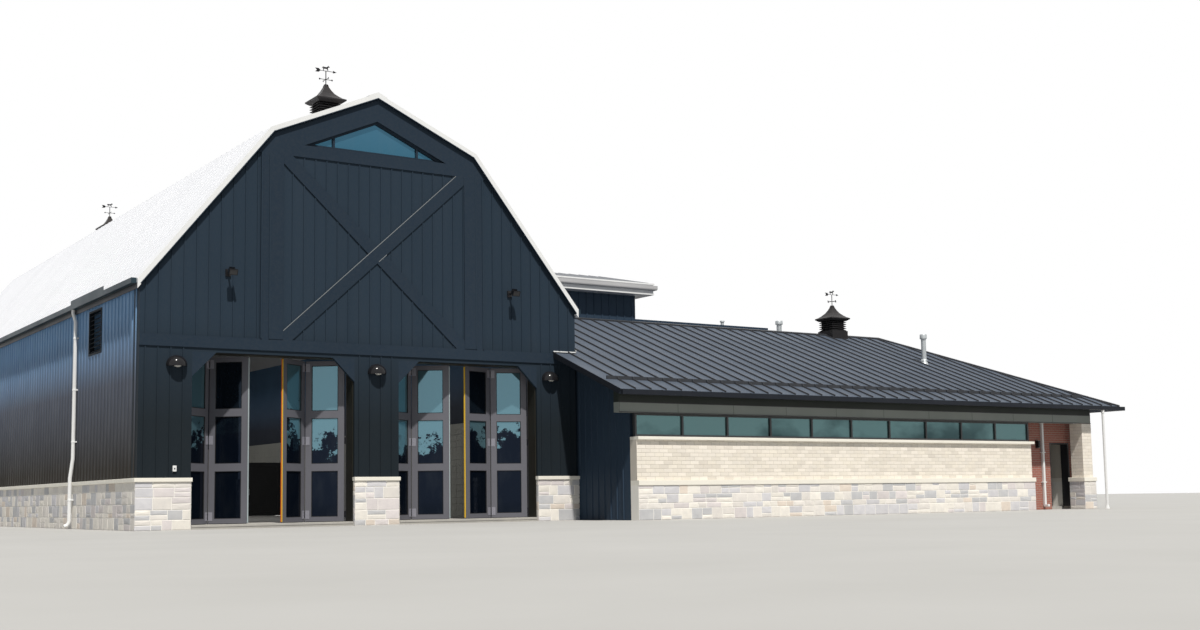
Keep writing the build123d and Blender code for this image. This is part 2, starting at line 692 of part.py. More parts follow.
FIGURE_SHARES = ((-0.34, 0.0), (-0.28, 0.0), (-0.27, 0.14), (-0.2, 0.24), (0.12, 0.23), (0.2, 0.13), (0.22, 0.0),
                 (0.28, 0.0), (0.29, 0.16), (0.24, 0.28), (0.3, 0.42), (0.42, 0.44), (0.5, 0.5), (0.46, 0.56),
                 (0.34, 0.6), (0.3, 0.66), (0.22, 0.56), (0.1, 0.46), (-0.22, 0.46), (-0.34, 0.5), (-0.46, 0.4),
                 (-0.5, 0.22), (-0.42, 0.32), (-0.34, 0.36), (-0.36, 0.24), (-0.34, 0.14))


# Wing
def window_band(x0, x1, y0, y1, count, along_y=False):
    """Frames with mullions between sill and head, and the glass in them."""
    depth0, depth1 = (y0, y1) if not along_y else (x0, x1)
    start, end = (x0, x1) if not along_y else (y0, y1)

    def bar(a, b, low, high, d0=depth0, d1=depth1):
        return box(a, b, d0, d1, low, high) if not along_y else box(d0, d1, a, b, low, high)

    rim = 60
    frame = bar(start, end, SILL_TOP, WINDOW_BAND_HEAD)
    pitch = (end - start - rim) / count
    panes = []
    middle = (depth0 + depth1) / 2
    for i in range(count):
        a = start + rim + i * pitch
        b = a + pitch - rim
        frame -= bar(a, b, SILL_TOP + rim, WINDOW_BAND_HEAD - rim, depth0 - 1, depth1 + 1)
        panes.append(bar(a, b, SILL_TOP + rim, WINDOW_BAND_HEAD - rim, middle - 6, middle + 6))
    return frame, panes


def wing_foot(proud, low, high):
    """Stone or cap under the wing's brick: the front wall, the column, the end wall and the rear wall."""
    front_y, rear_y, end_x = wing_wall_front, wing_wall_rear, WING_WALL_END
    side_x, inner_x = end_x - COLUMN_SIDE, end_x - WALL_THICKNESS
    column_y = frieze_front + COLUMN_SIDE
    porch_y = FRONT - PORCH_FRONT + WALL_THICKNESS
    return [box(wing_left, WING_FRONT_END + proud, front_y - proud, front_y + WALL_THICKNESS, low, high),
            box(side_x - proud, end_x + proud, frieze_front - proud, column_y + proud, low, high),
            box(inner_x, end_x + proud, porch_y, rear_y + proud, low, high),
            box(wing_left, inner_x, rear_y - WALL_THICKNESS, rear_y + proud, low, high)]


os.makedirs("parts", exist_ok=True)

save("hall_floor", hall_floor())
save("front_gable_wall", gable_wall(FRONT, FRONT + FRONT_DEPTH, BAY_HEAD))
save("rear_gable_wall", gable_wall(REAR - WALL_THICKNESS, REAR, CAP_TOP))
save("front_piers", front_piers())
save("front_stone_bases", front_stone(STONE_PROUD, 0, STONE_HEIGHT, 0))
save("left_wall", side_wall(-1) - louvre_cut())
save("right_wall", round_side_door(side_wall(1)))
save("left_stone_base", side_band(-1, 0, STONE_HEIGHT, STONE_PROUD))
save("right_stone_base", round_side_door(side_band(1, 0, STONE_HEIGHT, STONE_PROUD)))
stone_edge, cap_edge = HALF + STONE_PROUD, HALF + CAP_PROUD
rear_in = REAR - WALL_THICKNESS
save("rear_stone_base", box(-stone_edge, stone_edge, rear_in, REAR + STONE_PROUD, 0, STONE_HEIGHT))
save("stone_caps", front_stone(CAP_PROUD, STONE_HEIGHT, CAP_TOP, 20), side_band(-1, STONE_HEIGHT, CAP_TOP, CAP_PROUD),
     round_side_door(side_band(1, STONE_HEIGHT, CAP_TOP, CAP_PROUD)),
     box(-cap_edge, cap_edge, rear_in, REAR + CAP_PROUD, STONE_HEIGHT, CAP_TOP),
     wing_foot(WING_CAP_PROUD, WING_STONE_HEIGHT, WING_CAP_TOP))
save("side_louvre", side_louvre())

save("lower_roof", roof_slope(True, -1), roof_slope(True, 1))
save("upper_roof", roof_slope(False, -1), roof_slope(False, 1))
save("ridge_cap", ridge_cap())
front_rake, rear_rake = FRONT - RAKE_OVERHANG, REAR + RAKE_OVERHANG
save("rake_boards", rake_boards(front_rake, front_rake + RAKE_THICKNESS),
     rake_boards(rear_rake - RAKE_THICKNESS, rear_rake))

save("gable_trim", gable_boards(FRONT - TRIM_PROUD, FRONT), gable_boards(REAR, REAR + TRIM_PROUD))
save("cross_braces", cross_brace(FRONT - TRIM_PROUD, FRONT), cross_brace(REAR, REAR + TRIM_PROUD))
save("bay_corner_boards", bay_corner_boards())
front_window = gable_window(FRONT, FRONT + FRONT_DEPTH)
rear_window = gable_window(REAR, REAR - WALL_THICKNESS)
save("gable_window_frames", front_window[0], rear_window[0])
save("gable_window_glass", front_window[1], rear_window[1])
save("wall_lamps", dome_lamps(), floodlights(), porch_lamp())

save("bay_door_frames", bay_frame(-BAY_OUT), bay_frame(BAY_IN))
left_doors = bay_doors(-BAY_OUT, LEFT_BAY_ANGLES)
right_doors = bay_doors(BAY_IN, RIGHT_BAY_ANGLES)
save("left_bay_doors", left_doors[0])
save("right_bay_doors", right_doors[0])
save("bay_door_glass", left_doors[1], right_doors[1])
save("bay_door_hinges", left_doors[2], right_doors[2])

# Left gutter with its raised hood and pipe, and the right gutter where the wing leaves it free
gutter_z = EAVE_HEIGHT + GUTTER_RISE
left_gutter = Pos(-ROOF_EDGE, FRONT, gutter_z) * gutter_trough(HALL_LENGTH, -1)
right_back = wing_ridge + BLOCK_FRONT - WING_RIDGE_BACK + BLOCK_DEPTH + BLOCK_OVERHANG + 100
right_run = (gutter_z - GUTTER_SIZE - wing_top(FRONT)) / WING_SLOPE - GUTTER_WING_GAP
right_front = Pos(ROOF_EDGE, FRONT, gutter_z) * gutter_trough(right_run, 1)
right_rear = Pos(ROOF_EDGE, right_back, gutter_z) * gutter_trough(REAR - right_back, 1)
hood_x = -ROOF_EDGE - GUTTER_SIZE
hood = box(hood_x, hood_x + GUTTER_WALL, FRONT + HOOD_START, FRONT + HOOD_END, gutter_z, gutter_z + HOOD_HEIGHT)
save("hall_gutters", left_gutter, right_front, right_rear, hood)
pipe_x = -HALF - CAP_PROUD - PIPE_RADIUS - SEAT_GAP
pipe = Pos(pipe_x, FRONT + PIPE_BACK, (gutter_z - GUTTER_SIZE) / 2 + 50) * \
    Cylinder(PIPE_RADIUS, gutter_z - GUTTER_SIZE - 100)

ridge_base = RIDGE_HEIGHT
seat = ridge_seat()
places = {"front": (0, FRONT + FRONT_CUPOLA_BACK, ridge_base), "rear": (0, FRONT + REAR_CUPOLA_BACK, ridge_base),
          "wing": (WING_CUPOLA_X, wing_ridge, wing_ridge_height)}
bodies, roofs, masts = [], [], []
for name, (x, y, base) in places.items():
    body = cupola_body(x, y, base)
    bodies.append(over_wing_roof(body) if name == "wing" else body - seat)
    head = base + CUPOLA_SKIRT + CUPOLA_BODY
    roofs.append(cupola_roof(x, y, head))
    masts.append(vane_mast(x, y, head + CUPOLA_ROOF_RISE))
    save(f"{name}_wind_vane", vane(x, y, head + CUPOLA_ROOF_RISE))
save("cupola_bodies", bodies)
save("cupola_roofs", roofs)
save("vane_masts", masts)

# Wing walls
end_in = WING_WALL_END - WALL_THICKNESS
wall_y0, wall_y1 = wing_wall_front, wing_wall_front + WALL_THICKNESS
porch_y = FRONT - PORCH_FRONT
porch_back = porch_y + WALL_THICKNESS
left_in = wing_left + WALL_THICKNESS
rear_y0 = wing_wall_rear - WALL_THICKNESS
save("wing_floor", box(left_in, end_in, porch_back, rear_y0, 0, FLOOR_THICKNESS),
     box(wing_left, left_in, FRONT + WALL_THICKNESS, rear_y0, 0, FLOOR_THICKNESS),
     box(left_in, WING_FRONT_END - WALL_THICKNESS, wall_y1, porch_back, 0, FLOOR_THICKNESS))
save("wing_stone_base", wing_foot(WING_STONE_PROUD, 0, WING_STONE_HEIGHT))
save("wing_front_wall", box(wing_left, WING_FRONT_END, wall_y0, wall_y1, WING_CAP_TOP, SILL_HEIGHT))
save("wing_sill_cap", box(wing_left, WING_FRONT_END + SILL_PROUD, wall_y0 - SILL_PROUD, wall_y1,
                          SILL_HEIGHT, SILL_TOP))
band_frame, band_glass = window_band(wing_left, WING_FRONT_END, wall_y0 + 60, wall_y0 + 160, BAND_WINDOWS)
frieze = box(WING_RAKE_X + 200, WING_WALL_END, frieze_front, frieze_front + FRIEZE_DEPTH,
             WINDOW_BAND_HEAD, wing_ridge_height)
save("wing_frieze", under_wing_roof(frieze))
save("porch_column", box(WING_WALL_END - COLUMN_SIDE, WING_WALL_END, frieze_front, frieze_front + COLUMN_SIDE,
                         WING_CAP_TOP, WINDOW_BAND_HEAD))
return_wall = box(wing_left, wing_left + WALL_THICKNESS, wall_y1, FRONT + WALL_THICKNESS, 0, wing_ridge_height)
save("wing_left_return", under_wing_roof(return_wall))
porch_left = WING_FRONT_END - WALL_THICKNESS
porch = under_wing_roof(box(porch_left, WING_WALL_END, porch_y, porch_back, 0, wing_ridge_height))
porch_side = under_wing_roof(box(porch_left, WING_FRONT_END, wall_y1, porch_y, 0, wing_ridge_height))
save("porch_brick_wall", round_doorway(porch, False, DOORWAY_LEFT, DOORWAY_WIDTH), porch_side)


end_y0, end_y1 = porch_back, wing_wall_rear
end_wall = under_wing_roof(box(end_in, WING_WALL_END, end_y0, end_y1, WING_CAP_TOP, wing_ridge_height))
band_y0, band_y1 = end_y0 + 1500, end_y1 - 1500
end_wall -= box(end_in - 1, WING_WALL_END + 1, band_y0, band_y1, SILL_TOP, WINDOW_BAND_HEAD)
save("wing_end_wall", end_wall)
end_frame, end_glass = window_band(WING_WALL_END - 160, WING_WALL_END - 60, band_y0, band_y1, 6, along_y=True)
rear_wall = under_wing_roof(box(wing_left, end_in, rear_y0, wing_wall_rear, WING_CAP_TOP, wing_ridge_height))
band_x0, band_x1 = wing_left + 1500, end_in - 1500
rear_wall -= box(band_x0, band_x1, rear_y0 - 1, wing_wall_rear + 1, SILL_TOP, WINDOW_BAND_HEAD)
save("wing_rear_wall", rear_wall)
rear_frame, rear_glass = window_band(band_x0, band_x1, wing_wall_rear - 160, wing_wall_rear - 60, 8)
save("wing_window_frames", band_frame, end_frame, rear_frame)
save("wing_window_glass", band_glass, end_glass, rear_glass)

# Wing roof
hall_cut = hall_shape(SEAT_GAP)
front_slope = plate(wing_slope_points(0, wing_front), WING_ROOF_THICKNESS) - hall_cut
front_slope -= box(-100, WING_RAKE_X, wing_front - 100, FRONT, 0, RIDGE_HEIGHT)
save("wing_roof_front", front_slope)
save("wing_roof_rear", plate(wing_slope_points(0, wing_rear), WING_ROOF_THICKNESS) - hall_cut)
save("wing_roof_end", plate(wing_hip_points(), WING_ROOF_THICKNESS))
gutter_top = WING_EAVE_HEIGHT - 20
gutter_front = Pos(WING_RAKE_X, wing_front, gutter_top) * Rot(0, 0, -90) * \
    gutter_trough(WING_CORNER_X + GUTTER_SIZE - WING_RAKE_X, 1)
gutter_end = Pos(WING_CORNER_X, wing_front + 1, gutter_top) * gutter_trough(wing_rear - wing_front - 2, 1)
gutter_rear = Pos(wing_left + 400, wing_rear + GUTTER_SIZE, gutter_top) * Rot(0, 0, -90) * \
    gutter_trough(WING_CORNER_X + GUTTER_SIZE - wing_left - 400, 1)
save("wing_gutters", gutter_front, gutter_end, gutter_rear)
guard_y = wing_front + GUARD_UP
guard_z = wing_top(guard_y)
guard = box(WING_RAKE_X + 150, WING_CORNER_X - 900, guard_y - 20, guard_y + 20, guard_z - 100, guard_z + GUARD_HEIGHT)
save("snow_guard", over_wing_roof(guard) - hall_cut)

# Raised block, its roof, the screen and the vent pipes
block_y0 = FRONT + BLOCK_FRONT
block_y1 = block_y0 + BLOCK_DEPTH
inner_x, inner_y0, inner_y1 = BLOCK_END - BLOCK_WALL, block_y0 + BLOCK_WALL, block_y1 - BLOCK_WALL
walls = (box(0, inner_x, block_y0, inner_y0, WING_EAVE_HEIGHT, BLOCK_WALL_TOP),
         box(0, inner_x, inner_y1, block_y1, WING_EAVE_HEIGHT, BLOCK_WALL_TOP),
         box(inner_x, BLOCK_END, block_y0, block_y1, WING_EAVE_HEIGHT, BLOCK_WALL_TOP))
save("raised_block", [over_wing_roof(wall) - hall_cut for wall in walls])
eave_x, eave_y0, eave_y1 = BLOCK_END + BLOCK_OVERHANG, block_y0 - BLOCK_OVERHANG, block_y1 + BLOCK_OVERHANG
block_top = BLOCK_WALL_TOP + BLOCK_FASCIA
middle_y, half_y = (eave_y0 + eave_y1) / 2, (eave_y1 - eave_y0) / 2


def block_hip(drop):
    """The space under the raised block's hipped roof, lowered by a drop."""
    peak = block_top + BLOCK_ROOF_RISE
    foot = BLOCK_WALL_TOP / 2
    along = prism_x([(eave_y0, foot), (eave_y1, foot), (eave_y1, block_top), (middle_y, peak), (eave_y0, block_top)],
                    0, eave_x)
    end = prism_y([(0, foot), (eave_x, foot), (eave_x, block_top), (eave_x - half_y, peak), (0, peak)],
                  eave_y0, eave_y1)
    return Pos(0, 0, -drop) * (along & end)


block_roof = block_hip(0) - box(-1, eave_x + 1, eave_y0 - 1, eave_y1 + 1, 0, BLOCK_WALL_TOP)
hollow = block_hip(WING_ROOF_THICKNESS) & box(-1, inner_x, inner_y0, inner_y1, 0, RIDGE_HEIGHT)
save("raised_block_roof", block_roof - hollow - hall_cut)
screen = box(BLOCK_END + SCREEN_GAP, SCREEN_END, block_y0, block_y0 + SCREEN_THICKNESS, WING_EAVE_HEIGHT, SCREEN_TOP)
save("roof_screen", over_wing_roof(screen))


def vent_pipe(x, y, radius, top, cap):
    """A round pipe standing on the wing's roof, with a wider cap."""
    pipe = Pos(x, y, top - RIDGE_HEIGHT / 4) * Cylinder(radius, RIDGE_HEIGHT / 2)
    return over_wing_roof(pipe) + Pos(x, y, top - cap / 2) * Cylinder(radius * 1.45, cap)


save("vent_pipes", vent_pipe(FLUE_X, FRONT + FLUE_BACK, FLUE_RADIUS, FLUE_TOP, 1.5 * FLUE_RADIUS),
     vent_pipe(STACK_X, FRONT + STACK_BACK, STACK_RADIUS, STACK_TOP, 2 * STACK_RADIUS),
     vent_pipe(STUB_X, FRONT + FLUE_BACK, STUB_RADIUS, STUB_TOP, STUB_RADIUS))

# Rain pipes: by the hall's left wall, on the porch wall, and from the wing's front gutter
front_gutter_foot = gutter_top - GUTTER_SIZE
porch_pipe = box(PORCH_PIPE_X - WING_PIPE / 2, PORCH_PIPE_X + WING_PIPE / 2, porch_y - WING_PIPE, porch_y,
                 WING_PIPE, wing_ridge_height)
eave_pipe = Pos(EAVE_PIPE_X, wing_front - GUTTER_SIZE / 2, front_gutter_foot / 2) * \
    Cylinder(WING_PIPE / 2, front_gutter_foot)
save("downspouts", pipe, under_wing_roof(porch_pipe), eave_pipe)


def doorway_frame(along_y, start, width, outer, inner):
    """Two posts and a head lining a doorway."""
    low, top, t = FLOOR_THICKNESS, FLOOR_THICKNESS + DOORWAY_HEIGHT, DOORWAY_FRAME
    spans = ((start, start + t, low, top), (start + width - t, start + width, low, top),
             (start + t, start + width - t, top - t, top))
    if along_y:
        return [box(outer, inner, a, b, c, d) for a, b, c, d in spans]
    return [box(a, b, outer, inner, c, d) for a, b, c, d in spans]


save("doorway_frames", doorway_frame(False, DOORWAY_LEFT, DOORWAY_WIDTH, porch_y, porch_back),
     doorway_frame(True, FRONT + SIDE_DOOR_BACK, SIDE_DOOR_WIDTH, HALF - WALL_THICKNESS, HALF))
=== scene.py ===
"""Fire station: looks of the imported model, as a Blender add-on that also runs as a script.

Each operator builds one piece, or one group of like pieces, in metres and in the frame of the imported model.
The panel in the sidebar of the 3D view lists them in the order in which they run.
"""
import math
import random

import bmesh
import bpy
from mathutils import Matrix, Vector


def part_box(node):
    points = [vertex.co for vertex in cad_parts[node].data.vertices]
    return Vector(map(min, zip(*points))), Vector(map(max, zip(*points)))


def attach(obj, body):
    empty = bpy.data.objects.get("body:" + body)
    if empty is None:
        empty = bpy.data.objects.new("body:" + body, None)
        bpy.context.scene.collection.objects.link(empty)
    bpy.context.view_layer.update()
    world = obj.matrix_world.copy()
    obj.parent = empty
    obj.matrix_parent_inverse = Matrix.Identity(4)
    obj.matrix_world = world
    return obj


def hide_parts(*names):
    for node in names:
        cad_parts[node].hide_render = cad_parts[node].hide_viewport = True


bl_info = {
    "name": "Fire Station",
    "version": (1, 0, 0),
    "blender": (4, 5, 0),
    "location": "3D View > Sidebar > Station",
    "description": "Builds the finishes and fittings of a fire station around its packed model",
    "category": "Object",
}

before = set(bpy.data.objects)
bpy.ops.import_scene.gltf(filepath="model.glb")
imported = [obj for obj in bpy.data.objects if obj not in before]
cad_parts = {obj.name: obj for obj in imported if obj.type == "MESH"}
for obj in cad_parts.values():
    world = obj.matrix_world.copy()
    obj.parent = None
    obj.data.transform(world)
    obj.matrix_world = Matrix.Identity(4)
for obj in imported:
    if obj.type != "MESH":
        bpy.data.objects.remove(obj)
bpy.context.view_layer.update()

# The hall: faces, levels and slopes
FRONT, REAR, HALF = -14.85, 14.85, 6.19
EAVE_X, KNEE_X = HALF + 0.08, 2.965
EAVE_Z, KNEE_Z, RIDGE_Z = 6.0, 10.13, 11.43
CAP_Z, BAND_Z, SIDING_TOP, BEAM_Z = 1.24, 4.70, 5.90, 9.455
ROOF_THICK = 0.15
BASE_PROUD = 0.08
TRIM_FACES = ((FRONT - 0.035, -1), (REAR + 0.035, 1))
LOWER_LEAN = math.atan2(KNEE_Z - EAVE_Z, EAVE_X - KNEE_X)
UPPER_LEAN = math.atan2(RIDGE_Z - KNEE_Z, KNEE_X)
LOWER_RUN = math.hypot(KNEE_Z - EAVE_Z, EAVE_X - KNEE_X)
UPPER_RUN = math.hypot(RIDGE_Z - KNEE_Z, KNEE_X)

# The wing: eave and ridge as (y, z), ends, and its slopes as eave point, way up and way out
WING_EAVE, WING_RIDGE, WING_REAR = (-18.157, 3.474), (-10.582, 6.383), -3.007
WING_LEFT, RIDGE_END_X, HIP_X = 6.27, 22.477, 26.30
WING_RISE = WING_RIDGE[1] - WING_EAVE[1]
WING_LEAN = math.atan2(WING_RISE, WING_RIDGE[0] - WING_EAVE[0])
END_LEAN = math.atan2(WING_RISE, HIP_X - RIDGE_END_X)
WING_SIN, WING_COS = math.sin(WING_LEAN), math.cos(WING_LEAN)
FRONT_EAVE, FRONT_UP, FRONT_OUT = (0, *WING_EAVE), (0, WING_COS, WING_SIN), (0, -WING_SIN, WING_COS)
REAR_EAVE, REAR_UP, REAR_OUT = (0, WING_REAR, WING_EAVE[1]), (0, -WING_COS, WING_SIN), (0, WING_SIN, WING_COS)
END_EAVE, END_UP = (HIP_X, 0, WING_EAVE[1]), (-math.cos(END_LEAN), 0, math.sin(END_LEAN))
END_OUT = (math.sin(END_LEAN), 0, math.cos(END_LEAN))
HIP_PLAN = Vector((RIDGE_END_X - HIP_X, WING_RIDGE[0] - WING_EAVE[0], 0)).normalized()
SEAM_PHASE, SEAM_STEP = 8.50, 0.511

# The wing's walls: brick faces, the frieze's face and the porch column
WING_FRONT, WALL_END, WING_END, WING_BACK = -17.70, 22.18, 25.17, -3.464
PORCH_BACK, PORCH_SIDE, PORCH_TURN = -17.10, -17.40, -16.80
FRIEZE_FACE = -17.80
COLUMN_X, COLUMN_Y = (24.69, WING_END), (-17.80, -17.32)

FACING = 0.9
RIGHT, BACKWARD, UP = (1, 0, 0), (0, 1, 0), (0, 0, 1)
LEFT, FORWARD = (-1, 0, 0), (0, -1, 0)


# Selection, mesh and object helpers

def alone(obj):
    """Makes obj the only selected object and the active one."""
    bpy.ops.object.select_all(action="DESELECT")
    obj.select_set(True)
    bpy.context.view_layer.objects.active = obj
    return obj


def primitive(name, make, stretch=None, applied=True, **settings):
    """A new object from one of Blender's own, alone in the selection, with its place in its mesh if applied."""
    bpy.ops.object.select_all(action="DESELECT")
    make(**settings)
    obj = bpy.context.object
    obj.name = name
    if stretch:
        obj.scale = stretch
    if applied:
        bpy.ops.object.transform_apply(location=True, rotation=True, scale=True)
    return obj


def block(name, low, high):
    """A block between two corners."""
    middle = [(a + b) / 2 for a, b in zip(low, high)]
    size = [b - a for a, b in zip(low, high)]
    return primitive(name, bpy.ops.mesh.primitive_cube_add, size=1, location=middle, scale=size)


def pick_faces(obj, test):
    """In edit mode, selects the faces whose centre and normal pass the test. Returns how many."""
    mesh = bmesh.from_edit_mesh(obj.data)
    count = 0
    for face in mesh.faces:
        chosen = test(face.calc_center_median(), face.normal)
        face.select_set(chosen)
        count += chosen
    mesh.select_flush_mode()
    bmesh.update_edit_mesh(obj.data)
    return count


def pick_facing(obj, way, either=False):
    """In edit mode, selects the faces that look along a direction, or along it either way."""
    way = Vector(way)
    return pick_faces(obj, lambda centre, out: (abs(out.dot(way)) if either else out.dot(way)) > FACING)


def pick_edges(obj, test):
    """In edit mode, selects the edges that pass the test."""
    mesh = bmesh.from_edit_mesh(obj.data)
    for edge in mesh.edges:
        edge.select_set(test(edge))
    bmesh.update_edit_mesh(obj.data)


def edit(obj, mode="FACE", action="DESELECT"):
    """Enters edit mode on obj, with nothing selected or, by the action SELECT, with everything."""
    alone(obj)
    bpy.ops.object.mode_set(mode="EDIT")
    bpy.ops.mesh.select_mode(type=mode)
    bpy.ops.mesh.select_all(action=action)


def leave():
    """Leaves edit mode."""
    bpy.ops.object.mode_set(mode="OBJECT")


def taper(obj, normal, share):
    """Narrows the face of obj that looks along normal, to a share of its size in each direction."""
    edit(obj)
    pick_facing(obj, normal)
    bpy.ops.transform.resize(value=share)
    leave()
    return obj


def soften(obj, offset, segments=1):
    """Bevels every edge of obj."""
    edit(obj, "EDGE", "SELECT")
    bpy.ops.mesh.bevel(offset=offset, segments=segments)
    leave()
    return obj


def soft(name, low, high, offset, segments=1):
    """A block between two corners with bevelled edges."""
    return soften(block(name, low, high), offset, segments)


def smooth(obj, degrees=35):
    """Shades obj smooth over the edges that turn by less than an angle."""
    alone(obj)
    bpy.ops.object.shade_smooth_by_angle(angle=math.radians(degrees))
    return obj


def cut(obj, point, normal, fill=True):
    """Cuts obj by a plane, dropping what lies on the side the normal points to, and closes it if asked."""
    alone(obj)
    bpy.ops.object.mode_set(mode="EDIT")
    bpy.ops.mesh.select_all(action="SELECT")
    bpy.ops.mesh.bisect(plane_co=point, plane_no=normal, use_fill=fill, clear_outer=True)
    leave()


def shift(obj, step):
    """Moves obj's mesh by a step."""
    edit(obj, action="SELECT")
    bpy.ops.transform.translate(value=step)
    leave()


def array(obj, count, step):
    """Repeats obj count times, a step apart, and applies it."""
    alone(obj)
    modifier = obj.modifiers.new("Row", "ARRAY")
    modifier.use_relative_offset = False
    modifier.use_constant_offset = True
    modifier.constant_offset_displace = step
    modifier.count = count
    bpy.ops.object.modifier_apply(modifier=modifier.name)
    return obj


def join(objects, name):
    """Joins objects into the first one."""
    bpy.ops.object.select_all(action="DESELECT")
    for obj in objects:
        obj.select_set(True)
    bpy.context.view_layer.objects.active = objects[0]
    if len(objects) > 1:
        bpy.ops.object.join()
    objects[0].name = name
    return objects[0]


def place(obj, matrix):
    """Puts obj's mesh where the matrix says."""
    alone(obj)
    obj.matrix_world = matrix
    bpy.ops.object.transform_apply(location=True, rotation=True, scale=True)
    return obj


def axes_at(origin, x, y, z):
    """The matrix of three axes at an origin."""
    return Matrix((*((x[i], y[i], z[i], origin[i]) for i in range(3)), (0, 0, 0, 1)))


def slope_frame(origin, along, up):
    """Axes of a roof slope: X along the eave, Y up the slope, Z out of it."""
    x, y = Vector(along).normalized(), Vector(up).normalized()
    return axes_at(origin, x, y, x.cross(y))


def lifted(point, rise):
    """A point moved up."""
    return (point[0], point[1], point[2] + rise)


def done(obj, look, body="building", closed=True):
    """Faces outward where obj is closed, its material set, riding on its body."""
    if closed:
        edit(obj, action="SELECT")
        bpy.ops.mesh.normals_make_consistent(inside=False)
        leave()
    obj.data.materials.clear()
    obj.data.materials.append(finish(look))
    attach(obj, body)
    return obj


# Materials

def add(tree, kind, **values):
    """A shader node with its sockets and settings."""
    made = tree.nodes.new("ShaderNode" + kind)
    for key, value in values.items():
        if key in made.inputs:
            made.inputs[key].default_value = value
        else:
            setattr(made, key, value)
    return made


def feed(tree, value, socket):
    """Links a socket to another one, or sets it to a number or a colour."""
    if hasattr(value, "links"):
        tree.links.new(value, socket)
    else:
        socket.default_value = (*value, 1) if isinstance(value, tuple) else value


def coordinate(tree, axis):
    """One object coordinate."""
    split = add(tree, "SeparateXYZ")
    tree.links.new(add(tree, "TexCoord").outputs["Object"], split.inputs["Vector"])
    return split.outputs[axis]


def grain(tree, scale, stretch=(1, 1, 1), detail=4.0, rough=0.55):
    """Noise in object coordinates, stretched by direction. Returns its value socket."""
    squeeze = add(tree, "Mapping", Scale=stretch)
    noise = add(tree, "TexNoise", Scale=scale, Detail=detail, Roughness=rough)
    tree.links.new(add(tree, "TexCoord").outputs["Object"], squeeze.inputs["Vector"])
    tree.links.new(squeeze.outputs["Vector"], noise.inputs["Vector"])
    return noise.outputs["Fac"]


def span(tree, value, low, high, to_low=0.0, to_high=1.0):
    """Maps a range of a value onto another one, clamped."""
    made = add(tree, "MapRange", **{"From Min": low, "From Max": high, "To Min": to_low, "To Max": to_high})
    tree.links.new(value, made.inputs["Value"])
    return made.outputs["Result"]


def mix(tree, share, first, second, blend="MIX"):
    """Mixes two colours or sockets by a share."""
    made = add(tree, "Mix", data_type="RGBA", blend_type=blend)
    colours = [socket for socket in made.inputs if socket.type == "RGBA"]
    for value, socket in zip((share, first, second), (made.inputs["Factor"], *colours)):
        feed(tree, value, socket)
    return next(socket for socket in made.outputs if socket.type == "RGBA")


def times(tree, first, second, operation="MULTIPLY"):
    """A maths node on two sockets or numbers."""
    made = add(tree, "Math", operation=operation)
    feed(tree, first, made.inputs[0])
    feed(tree, second, made.inputs[1])
    return made.outputs["Value"]


def height(tree, low, high):
    """Share of the way up between two heights."""
    return span(tree, coordinate(tree, "Z"), low, high)


def across(tree, low, high):
    """One between two places along X, and nothing elsewhere."""
    x = coordinate(tree, "X")
    return times(tree, span(tree, x, low - 0.01, low + 0.01), span(tree, x, high - 0.01, high + 0.01, 1.0, 0.0))


def blank(name):
    """A new material, its node tree and its shader."""
    made = bpy.data.materials.new(name)
    made.use_nodes = True
    return made, made.node_tree, made.node_tree.nodes["Principled BSDF"]


def settle(tree, shader, colour, roughness, others):
    """Gives the shader its colour, its roughness and what else is set."""
    for key, value in {"Base Color": colour, "Roughness": roughness, **others}.items():
        feed(tree, value, shader.inputs[key])


def surface(name, tint, other, dirt, share, fine, rough, bump, specular, cloud=0.6, stretch=(1, 1, 1),
            bump_depth=0.002, metal=0.0, dust=0.0, tones=0.0, reflection_fades=(), above=None):
    """A procedural finish: clouded tint, fine grain, rain streaks, dust near the ground and rough patches.

    Painted reflection fades darken it towards a foot between two heights, and above sets another tint over a
    height.
    """
    tree, shader = blank(name)[1:]
    clouds = grain(tree, cloud, stretch, 5.0)
    specks = grain(tree, fine, stretch, 3.0, 0.65)
    colour = mix(tree, span(tree, clouds, 0.3, 0.7), tint, other)
    colour = mix(tree, span(tree, specks, 0.35, 0.75, 0.0, 0.35), colour, dirt)
    if tones:
        own = add(tree, "Attribute", attribute_name="tone").outputs["Color"]
        colour = mix(tree, tones, colour, own, "MULTIPLY")
    runs = grain(tree, 2.2, (1, 1, 0.12), 4.0, 0.6)
    colour = mix(tree, span(tree, runs, 0.5, 0.8, 0.0, share), colour, dirt)
    # Painted reflection: darker towards a foot, where the surface would mirror ground and trees.
    for low, high, foot in reflection_fades:
        colour = mix(tree, 1.0, colour, mix(tree, height(tree, low, high), foot, (1, 1, 1)), "MULTIPLY")
    if dust:
        low = span(tree, height(tree, 0.0, 1.2), 0.0, 1.0, dust, 0.0)
        colour = mix(tree, times(tree, low, span(tree, clouds, 0.2, 0.8)), colour, (0.34, 0.31, 0.27))
    if above:
        low, high, weight, shade, blend = above
        colour = mix(tree, height(tree, low, high), colour, mix(tree, weight, colour, shade, blend))
    relief = add(tree, "Bump", Strength=bump, Distance=bump_depth)
    tree.links.new(specks, relief.inputs["Height"])
    settle(tree, shader, colour, span(tree, clouds, 0.25, 0.75, *rough),
           {"Metallic": metal, "Specular IOR Level": specular, "Normal": relief.outputs["Normal"]})


